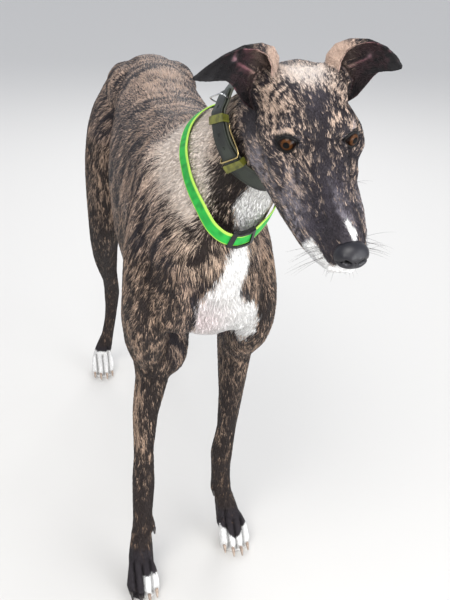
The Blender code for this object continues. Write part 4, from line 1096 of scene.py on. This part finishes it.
def near_eyes(points):
    """1 at an eye, falling to near 0 past the lids."""
    share = np.zeros(len(points))
    for side in SIDES.values():
        local = in_frame(eye_frame(side), points)
        share = np.maximum(share, np.exp(-((np.linalg.norm(local, axis=1) / (22 * MM)) ** 4)))
    return share


# ---- materials ----
def surface(name, colour, roughness, **constants):
    """A Principled material of one colour."""
    made = bpy.data.materials.new(name)
    made.use_nodes = True
    for socket, value in {"Base_Color": (*colour, 1), "Roughness": roughness, **constants}.items():
        shader_input(made, socket.replace("_", " ")).default_value = value
    return made


def shader_input(made, socket):
    return made.node_tree.nodes["Principled BSDF"].inputs[socket]


def add_node(made, kind, attribute=None, **inputs):
    """A new node of a material. An input is a constant, or the output of another node to link it to."""
    node = made.node_tree.nodes.new(f"ShaderNode{kind}")
    if attribute:
        node.attribute_name = attribute
    for name, value in inputs.items():
        socket = node.inputs[name.replace("_", " ")]
        if isinstance(value, bpy.types.NodeSocket):
            made.node_tree.links.new(value, socket)
        else:
            socket.default_value = value
    return node


def paint(made, attribute):
    """Takes the material's colour from the mesh's colours."""
    reader = add_node(made, "Attribute", attribute)
    made.node_tree.links.new(reader.outputs["Color"], shader_input(made, "Base Color"))
    return made


def bump(made, scale, height, kind="TexNoise", attribute=None):
    """Relief of a height in metres, over what relief the material has, in the object's own coordinates or in
    those that the mesh holds."""
    if attribute:
        where = add_node(made, "Attribute", attribute).outputs["Vector"]
    else:
        where = add_node(made, "TexCoord").outputs["Object"]
    texture = add_node(made, kind, Vector=where, Scale=scale)
    relief = add_node(made, "Bump", Height=texture.outputs[0], Distance=height)
    normal = shader_input(made, "Normal")
    if normal.is_linked:
        made.node_tree.links.new(normal.links[0].from_socket, relief.inputs["Normal"])
    made.node_tree.links.new(relief.outputs["Normal"], normal)
    return made


def mottle(made, other, scale):
    """Mixes another colour into the material's in soft spots."""
    base = shader_input(made, "Base Color")
    where = add_node(made, "TexCoord").outputs["Object"]
    spots = add_node(made, "TexNoise", Vector=where, Scale=scale, Detail=4)
    edge = add_node(made, "MapRange", Value=spots.outputs[0], From_Min=0.38, From_Max=0.66)
    blend = add_node(made, "MixRGB", Fac=edge.outputs[0], Color1=base.default_value, Color2=(*other, 1))
    made.node_tree.links.new(blend.outputs[0], base)
    return made


def carried(name, made, rounding=None, smooth_levels=0):
    """Gives a CAD node that is still seen its material, rounded edges or a smoother surface."""
    node = frame["nodes"][name]
    node.data.materials.clear()
    node.data.materials.append(made)
    node.modifiers.new("weld", "WELD").merge_threshold = 0.01 * MM
    if rounding:
        edges = node.modifiers.new("bevel", "BEVEL")
        edges.width = rounding
        edges.segments = 2
        edges.limit_method = "ANGLE"
        edges.angle_limit = math.radians(40)
    if smooth_levels:
        smooth = node.modifiers.new("smooth", "SUBSURF")
        smooth.levels = smooth.render_levels = smooth_levels
        node.data.shade_smooth()


# ---- eyes ----
def around(columns):
    return np.arange(columns) * 2 * math.pi / columns


def ball(polar, columns):
    """Rings of ways out from a middle: how far each is turned from -Y, its angle round -Y, and the ways."""
    away, turn = (angles.ravel() for angles in np.meshgrid(polar, around(columns), indexing="ij"))
    out = np.sin(away)
    return away, turn, np.stack([out * np.cos(turn), -np.cos(away), out * np.sin(turn)], axis=1)


def grid_faces(rows, columns):
    """Quads between closed rings of points, ring by ring."""
    faces = []
    for row, column in itertools.product(range(rows - 1), range(columns)):
        here, beyond, beside = row * columns, (row + 1) * columns, (column + 1) % columns
        faces.append((here + column, here + beside, beyond + beside, beyond + column))
    return faces


def smooth_piece(name, points, faces, made, face_outwards=False, **layers):
    """A smooth piece of a material, with the colours of its points by the name of their layer."""
    mesh = mesh_from(name, points, faces)
    if face_outwards:
        bm = bmesh.new()
        bm.from_mesh(mesh)
        bmesh.ops.recalc_face_normals(bm, faces=bm.faces)
        bm.to_mesh(mesh)
        bm.free()
    for layer, colours in layers.items():
        set_colours(mesh, layer, colours)
    mesh.shade_smooth()
    return new_object(name, mesh, made)


def make_eye(name, side, made):
    """An eyeball with its cornea, and its pupil and iris in the mesh's colours."""
    rows, columns = 72, 96
    polar = np.concatenate([np.linspace(0.4, 50, 52), np.linspace(54, 178, rows - 52)])
    away, turn, ways = ball(np.radians(polar), columns)
    degrees = np.degrees(away)
    local = ways * (EYE_RADIUS + 0.75 * MM * np.exp(-((degrees / 30) ** 4)))[:, None]
    faces = [tuple(reversed(face)) for face in grid_faces(rows, columns)]
    faces += [tuple(range(columns)), tuple(reversed(range((rows - 1) * columns, rows * columns)))]
    streak = noise(np.stack([np.cos(turn), np.sin(turn), degrees / 60], axis=1), 0.07, 71)
    colours = mix(linear(92, 58, 30), linear(52, 34, 20), 0.5 + 0.5 * streak)
    colours = mix(colours, linear(24, 14, 10), ramp(degrees, 26, 36))
    # The sclera round the iris: dark pigment, and painted shade.
    colours = mix(colours, linear(28, 20, 18), ramp(degrees, 37, 42))
    colours = mix(linear(4, 4, 5), colours, ramp(degrees, 15.5, 17.5))
    return smooth_piece(name, out_of_frame(eye_frame(side), local), faces, made, eye=colours)


# Rings of the lids' rims: the almond's value, and the distance from the eye's middle in mm.
LID_PROFILE = (
    (0.86, 11.0),
    (0.89, 11.5),
    (0.94, 11.95),
    (1.02, 12.35),
    (1.10, 12.5),
    (1.16, 12.3),
    (1.21, 11.2),
)


def make_lids(name, side, made):
    """The rims of the lids: from inside, against the eye, over the edge to under the skin around it."""
    turn = around(96)
    wide, tall = (np.sign(part) * np.abs(part) ** 1.25 for part in (np.cos(turn), np.sin(turn)))
    rings = []
    for gap, reach in LID_PROFILE:
        across = gap * EYE_HALF_WIDTH * wide
        rise = gap * EYE_HALF_HEIGHT * tall - EYE_SLANT * across
        out = np.cos(rise)
        ring = np.stack([out * np.sin(across) * side, -out * np.cos(across), np.sin(rise)], axis=1)
        rings.append(ring * reach * MM)
    points = out_of_frame(eye_frame(side), np.concatenate(rings))
    return smooth_piece(name, points, grid_faces(len(rings), len(turn)), made)


# ---- nose ----
def make_nose(made):
    """The nose's leather: a flattened ball with its nostrils, the wings over them and the groove between."""
    rows, columns = 90, 140
    _, _, ways = ball(np.linspace(0.01, math.pi - 0.3, rows), columns)
    lift = MM * lines(folded(ways), NOSE_FORMS)
    points = out_of_frame(nose_frame(), ways * (np.array(NOSE_RADII) - 0.3 * MM + lift[:, None]))
    faces = [tuple(reversed(face)) for face in grid_faces(rows, columns)] + [tuple(range(columns))]
    # Painted shade: the leather is darker the deeper it is pressed in, in the nostrils and the groove.
    shaded_tones = mix(linear(26, 25, 31), linear(5, 5, 7), ramp(-lift, 0.6 * MM, 3 * MM))
    return smooth_piece("nose_leather", points, faces, made, nose=shaded_tones)


# Forms of the nose, on its left side and mirrored, as places on a ball of radius 1: a line's ends, its
# radius, and its height in mm.
NOSE_FORMS = (
    ((0.36, -0.92, 0.02), (0.52, -0.84, 0.12), 0.15, -5.5),  # nostril
    ((0.52, -0.84, 0.12), (0.80, -0.58, -0.10), 0.09, -2.6),
    ((0.80, -0.58, -0.10), (0.92, -0.30, -0.22), 0.07, -1.4),
    ((0.30, -0.85, 0.42), (0.66, -0.62, 0.40), 0.22, 0.9),  # wing
    ((0.70, -0.55, -0.38), (0.35, -0.85, -0.40), 0.20, 0.5),
    ((0, -1.0, 0.12), (0, -0.75, -0.66), 0.055, -1.5),  # groove
)


# ---- collars ----
class Strap:
    """A strap's course round the neck, read from the rings of its CAD node. A place on it is a length along
    from its buckle or slide, a reach across towards the rear, and a height over its inner face."""

    def __init__(self, node, centre, facing, start, width):
        bm = node_mesh(node)
        bmesh.ops.remove_doubles(bm, verts=bm.verts, dist=0.01 * MM)
        centre, facing = np.array(centre), unit(np.array(facing))
        up = unit(np.array((0, 0, 1)) - facing * facing[2])
        side = np.cross(up, facing)
        thin = sorted(bm.edges, key=lambda edge: edge.calc_length())[: len(bm.verts) // 2]
        pairs = np.array([[vert.co for vert in edge.verts] for edge in thin])
        bm.free()
        near, far = np.linalg.norm(pairs - centre, axis=-1).T
        outer_first = near > far
        pairs[outer_first] = pairs[outer_first][:, ::-1]
        gaps = np.linalg.norm(pairs[:, None] - pairs[None], axis=-1)
        mates = np.abs(gaps - width).sum(axis=-1).argmin(axis=1)
        rear = np.flatnonzero((pairs[:, 0] @ facing) > (pairs[mates, 0] @ facing))
        path = (pairs[rear, 0] + pairs[mates[rear], 0]) / 2
        angle = np.arctan2((path - centre) @ side, (path - centre) @ up) % (2 * math.pi)
        order = np.argsort((angle + math.radians(4)) % (2 * math.pi))
        rear, path = rear[order], path[order]
        self.path = path
        self.across = unit(pairs[rear, 0] - pairs[mates[rear], 0])
        self.upright = unit(pairs[rear, 1] + pairs[mates[rear], 1] - 2 * path)
        self.start = math.radians(start)
        self.reach = np.linalg.norm(self.at(path, np.array([self.start]))[0] - centre)
        self.round = 2 * math.pi * self.reach

    def draw_in(self, skin, free, gap):
        """Lays the strap close to the skin, but not within an angle of its buckle."""
        angles = around(len(self.path))
        away = np.degrees(np.abs((angles - self.start + math.pi) % (2 * math.pi) - math.pi))
        off = np.array([skin.tree.find_nearest(point)[3] for point in self.path + self.upright * gap]) - 2 * gap
        drop = np.clip(off, 0, 8 * MM) * ramp(away, free, free + 20)
        for _ in range(6):
            drop = (np.roll(drop, 1) + 2 * drop + np.roll(drop, -1)) / 4
        drop *= ramp(away, free, free + 12)
        self.path = self.path - self.upright * drop[:, None]

    def at(self, values, angles):
        """Values between those of the rings, on a smooth curve."""
        spot = angles * len(values) / (2 * math.pi)
        first = np.floor(spot).astype(int)
        t = (spot - first)[:, None]
        a, b, c, d = (values[(first + k) % len(values)] for k in (-1, 0, 1, 2))
        return b + 0.5 * t * (c - a + t * (2 * a - 5 * b + 4 * c - d + t * (3 * (b - c) + d - a)))

    def places(self, alongs, across, heights):
        """Points at each length for each reach across, at their heights."""
        angles = self.start + alongs / self.reach
        courses = (self.path, self.across, self.upright)
        path, aside, upright = (self.at(values, angles)[:, None] for values in courses)
        return path + unit(aside) * across[None, :, None] + unit(upright) * heights[..., None]


def make_strap(name, strap, lengths, half, levels, step, made, relief, colours):
    """A strap with rounded edges, whole or between two lengths. relief and colours give, for the lengths and
    the reaches across, how far its upper face rises and its colours."""
    whole = lengths is None
    if whole:
        alongs = np.arange(0, strap.round, step)
    else:
        alongs = np.linspace(*lengths, int((lengths[1] - lengths[0]) / step) + 1)
    across = half * np.sin(np.linspace(-math.pi / 2, math.pi / 2, int(2.4 * half / step)))
    rounding = 0.42 * (levels[1] - levels[0])
    edge = np.maximum(np.abs(across) - half + rounding, 0) / rounding
    fall = rounding * (1 - np.sqrt(np.maximum(1 - edge**2, 0)))
    upper = levels[1] - fall + relief(alongs[:, None], across[None])
    lower = np.broadcast_to(levels[0] + fall, upper.shape)
    loop = np.concatenate([across, across[::-1]])
    points = strap.places(alongs, loop, np.concatenate([upper, lower[:, ::-1]], axis=1))
    rows, columns = points.shape[:2]
    faces = [tuple(corner % (rows * columns) for corner in face) for face in grid_faces(rows + whole, columns)]
    if not whole:
        faces += [tuple(reversed(range(columns))), tuple(range((rows - 1) * columns, rows * columns))]
    spots = np.zeros((rows, columns, 3))
    spots[..., 0], spots[..., 1] = alongs[:, None], loop
    spots = spots.reshape(-1, 3)
    points = points.reshape(-1, 3)
    return smooth_piece(name, points, faces, made, face_outwards=True, course=spots, coat=colours(spots))


CREASE = 9.7  # how far the crease is from the middle of the leather strap, in mm


def leather_relief(along, across, holes=()):
    """A crease along each edge, and holes with a rim at their lengths in mm."""
    rise = -0.28 * MM * np.exp(-(((np.abs(across) / MM - CREASE) / 0.4) ** 2)) + 0 * along
    for hole in holes:
        gap = np.hypot(along / MM - hole, across / MM)
        rise = rise - 1.7 * MM * ramp(-gap, -1.9, -1.3) + 0.15 * MM * np.exp(-(((gap - 2.3) / 0.5) ** 2))
    return rise


def tongue_relief(along, across):
    return leather_relief(along, across, (-36, -9, 5))


def leather_colours(spots):
    """Dark strap leather, worn paler along its edges and dark in its creases."""
    across = np.abs(spots[:, 1]) / MM
    colour = mix(linear(50, 55, 48), linear(30, 33, 30), ramp(noise(spots, 0.012, 81), -0.4, 0.8))
    colour = mix(colour, linear(16, 17, 16), 0.8 * np.exp(-(((across - CREASE) / 0.5) ** 2)))
    return mix(colour, linear(88, 88, 74), 0.7 * ramp(across, 11.3, 12.4))


def nylon_colours(spots):
    """Green webbing with a broad bright edge in front and a narrow one behind."""
    green = mix(linear(38, 176, 66), linear(24, 140, 52), ramp(noise(spots, 0.006, 82), -0.5, 0.8))
    bright = ramp(-spots[:, 1] / MM, 5.3, 5.9) + ramp(spots[:, 1] / MM, 7.2, 7.6)
    return mix(green, linear(186, 232, 92), np.clip(bright, 0, 1) * 0.95)


def nylon_relief(along, across):
    return 0.30 * MM * np.sin(along / (9 * MM)) * np.cos(across / (6 * MM))


# ---- whiskers ----
# Each group: its root on the left side in the head's frame, its spread, the way it points, its length in mm
# and how many there are.
WHISKERS = (
    ((17, -112, -40), (3, 9, 4), (0.80, 0.30, -0.45), 34, 12),
    ((30, -18, 13), (3, 3, 2), (0.35, -0.45, 0.80), 19, 3),
    ((41, -18, -50), (2, 3, 3), (0.80, 0.45, -0.30), 22, 2),
    ((9, -116, -64), (5, 8, 2), (0.30, -0.10, -0.95), 11, 6),
)


def make_whiskers(skin, made):
    """Tapering hairs of three sides, rooted in the skin, which droop towards their tips."""
    rng = np.random.default_rng(17)
    points, faces = [], []
    for side, (root, reach, way, length, count) in itertools.product(SIDES.values(), WHISKERS):
        for _ in range(count):
            spot = (np.array(root) + np.array(reach) * rng.uniform(-1, 1, 3)) * (side, 1, 1) * MM
            start, normal, _, _ = skin.tree.find_nearest(out_of_frame(HEAD, spot[None])[0])
            ahead = turned_from_head(unit(np.array(way) * (side, 1, 1) + 0.18 * rng.standard_normal(3)))
            ahead = unit(ahead + 0.35 * np.array(normal))
            across = unit(np.cross(ahead, (0, 0, 1)))
            long = length * MM * rng.uniform(0.7, 1.2)
            first = len(points)
            for share in np.linspace(-0.05, 1, 9):
                sag = np.array((0, 0, 0.16)) * (share * share * long)
                middle = np.array(start) + ahead * (share * long) - sag
                thick = 0.17 * MM * (1 - 0.85 * max(share, 0))
                for turn in (0, 2.1, 4.2):
                    aside = across * math.cos(turn) + np.cross(across, ahead) * math.sin(turn)
                    points.append(middle + aside * thick)
            faces += [tuple(first + corner for corner in face) for face in grid_faces(9, 3)]
            faces += [(first + 2, first + 1, first), (first + 24, first + 25, first + 26)]
    return smooth_piece("whiskers", points, faces, made, face_outwards=True)


# ---- the model ----
def attach(piece, slot, *replaced):
    """Has a piece ride on the dog's body and stand for CAD nodes, which it hides. slot is not used."""
    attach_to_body(piece, "root")
    if replaced:
        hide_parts(*replaced)


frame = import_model()
HEAD = head_frame()

skin_mesh = build_skin()
flesh, flesh_owners = solids_tree()
region_shares = region_weights(points_of(skin_mesh), edges_of(skin_mesh), flesh, flesh_owners)
settle(skin_mesh, flesh, region_shares)
sculpt(skin_mesh, region_shares)
open_lids(skin_mesh)
no_chance = np.zeros(len(region_shares))
skin_colours = markings(points_of(skin_mesh), points_of(skin_mesh, "normal"), region_shares, no_chance)
# Painted shade: the skin between the tufts is darker than the coat over it.
set_colours(skin_mesh, "coat", skin_colours * 0.8)
skin_mesh.shade_smooth()

coat_surface = paint(surface("coat", (0.2, 0.15, 0.1), 0.55, Specular_IOR_Level=0.35), "coat")
skin_surface = paint(surface("skin", (0.2, 0.15, 0.1), 0.62, Specular_IOR_Level=0.3), "coat")
skin = new_object("skin", skin_mesh, bump(skin_surface, 900, 0.4 * MM))
attach(skin, "coat_brindle", *nodes_named(*BODY_NODES, *PAW_NODES, "ear_"))
coated = Skin(skin_mesh, region_shares)
for piece in make_coat(coated, coat_surface):
    attach(piece, "coat_brindle")
whisker = mottle(surface("whisker", linear(60, 54, 52), 0.45), linear(24, 22, 22), 90)
attach(make_whiskers(coated, whisker), "coat_dark")

wet = surface("wet_eye", (0.1, 0.05, 0.02), 0.4, Specular_IOR_Level=0.05, Coat_Weight=0.2, Coat_Roughness=0.03)
bump(paint(wet, "eye"), 700, 0.01 * MM)
rim = bump(surface("lid_rim", linear(14, 12, 13), 0.42, Specular_IOR_Level=0.25), 1500, 0.1 * MM)
for side_name, side in SIDES.items():
    attach(make_eye(f"eyeball_{side_name}", side, wet), "eye", f"eye_{side_name}")
    attach(make_lids(f"lids_{side_name}", side, rim), "coat_dark")
leather = paint(surface("nose", (0.02, 0.02, 0.025), 0.40, Specular_IOR_Level=0.5), "nose")
attach(make_nose(bump(leather, 1000, 0.12 * MM, kind="TexVoronoi")), "nose_leather", "nose")

horn = mottle(surface("horn", linear(50, 43, 40), 0.4), linear(26, 22, 22), 240)
pale_horn = mottle(surface("pale_horn", linear(178, 160, 144), 0.4), linear(128, 110, 98), 240)
for made in (horn, pale_horn):
    bump(made, 400, 0.1 * MM)
DARK_CLAWS = ("claw_fore_right_outer", "claw_fore_right_mid_outer", "claw_fore_right_dew", "claw_fore_left_dew")
for name in nodes_named("claw_"):
    carried(name, horn if name in DARK_CLAWS else pale_horn, smooth_levels=2)

hide = paint(surface("strap_leather", (0.03, 0.03, 0.03), 0.42, Specular_IOR_Level=0.4), "coat")
bump(hide, 1100, 0.12 * MM, kind="TexVoronoi")
webbing = paint(surface("webbing", (0.05, 0.5, 0.06), 0.6), "coat")
bump(bump(webbing, 260, 0.25 * MM, kind="TexWave", attribute="course"), 1500, 0.15 * MM)
leather_strap = Strap("collar_strap", (0.02698, -0.35663, 0.7255), SEAM_FACING, 97, 25 * MM)
leather_strap.draw_in(coated, 31, 1.5 * MM)
nylon_strap = Strap("band_strap", (0.00098, -0.28863, 0.6780), (-0.213, 0.804, -0.556), 172, 17 * MM)
THICK = 2.6 * MM
# The heights between which the leather's free end and the nylon lie.
OVER = (THICK + 0.3 * MM, 2 * THICK + 0.3 * MM)
NYLON = (0, 1.6 * MM)
TONGUE = (-54 * MM, 26 * MM)  # where the free end starts and ends along the strap
leather_looks = ("collar_leather", hide, leather_colours)
nylon_looks = ("band_nylon", webbing, nylon_colours)
for name, strap, lengths, half, levels, step, relief, (slot, made, colours) in (
    ("collar_strap", leather_strap, None, 12.5, (0, THICK), 1.3, leather_relief, leather_looks),
    ("collar_tongue", leather_strap, TONGUE, 11.5, OVER, 0.6, tongue_relief, leather_looks),
    ("band_strap", nylon_strap, None, 8.5, NYLON, 1.0, nylon_relief, nylon_looks),
):
    piece = make_strap(f"{name}_worn", strap, lengths, half * MM, levels, step * MM, made, relief, colours)
    attach(piece, slot, name)
olive = mottle(surface("olive_leather", linear(112, 112, 46), 0.45), linear(74, 76, 30), 160)
bump(olive, 1100, 0.15 * MM, kind="TexVoronoi")
for name in ("collar_keeper", "collar_end_keeper"):
    carried(name, olive, rounding=0.45 * MM)
brass = mottle(surface("brass", (0.62, 0.48, 0.22), 0.24, Metallic=1.0), (0.42, 0.31, 0.13), 220)
steel = mottle(surface("steel", (0.70, 0.71, 0.72), 0.18, Metallic=1.0), (0.48, 0.49, 0.50), 220)
for name, metal in (("collar_buckle", brass), ("collar_ring", steel)):
    carried(name, bump(metal, 800, 0.03 * MM), smooth_levels=2)
plastic = bump(mottle(surface("plastic", linear(28, 28, 30), 0.42), linear(16, 16, 18), 200), 1800, 0.06 * MM)
carried("band_slide", plastic, rounding=0.4 * MM)

# ---- picture ----
scene = bpy.context.scene
scene.view_settings.view_transform = "Standard"
camera = bpy.data.objects.new("camera", bpy.data.cameras.new("camera"))
scene.collection.objects.link(camera)
camera.data.lens = CAMERA_LENS
level = math.cos(CAMERA_PITCH)
ahead = Vector((math.sin(CAMERA_YAW) * level, math.cos(CAMERA_YAW) * level, -math.sin(CAMERA_PITCH)))
level_right = Vector((math.cos(CAMERA_YAW), -math.sin(CAMERA_YAW), 0))
level_up = level_right.cross(ahead)
right = level_right * math.cos(CAMERA_ROLL) + level_up * math.sin(CAMERA_ROLL)
upright = level_up * math.cos(CAMERA_ROLL) - level_right * math.sin(CAMERA_ROLL)
camera.matrix_world = Matrix.Translation(CAMERA_PLACE) @ Matrix((right, upright, -ahead)).transposed().to_4x4()
scene.camera = camera

# Name, place, what it points at, width, power and colour.
for name, place, target, size, power, colour in (
    ("key", (-1.0, -2.2, 2.8), (0, 0, 0.5), 2.2, 80, (1, 0.98, 0.95)),
    ("fill", (2.0, -2.0, 1.2), (0, -0.2, 0.5), 2.2, 30, (0.95, 0.97, 1)),
    ("rim", (0.6, 2.4, 2.4), (0, 0, 0.5), 1.8, 35, (1, 1, 1)),
    ("low", (0.9, -2.2, 0.35), (0, -0.3, 0.6), 1.4, 30, (1, 1, 1)),
):
    lamp = bpy.data.lights.new(name, "AREA")
    lamp.shape = "DISK"
    lamp.size = size
    lamp.energy = power
    lamp.color = colour
    obj = new_object(name, lamp)
    obj.location = place
    obj.rotation_euler = (Vector(target) - Vector(place)).to_track_quat("-Z", "Y").to_euler()
scene.world = bpy.data.worlds.new("world")
scene.world.use_nodes = True
backdrop = scene.world.node_tree.nodes["Background"].inputs
backdrop["Color"].default_value = (0.90, 0.93, 1.0, 1)
backdrop["Strength"].default_value = 0.8
floor_mesh = mesh_from("floor", [(-30, -30, 0), (30, -30, 0), (30, 30, 0), (-30, 30, 0)], [(0, 1, 2, 3)])
floor = new_object("floor", floor_mesh, bump(surface("floor", linear(214, 212, 208), 0.6), 60, 0.2 * MM))
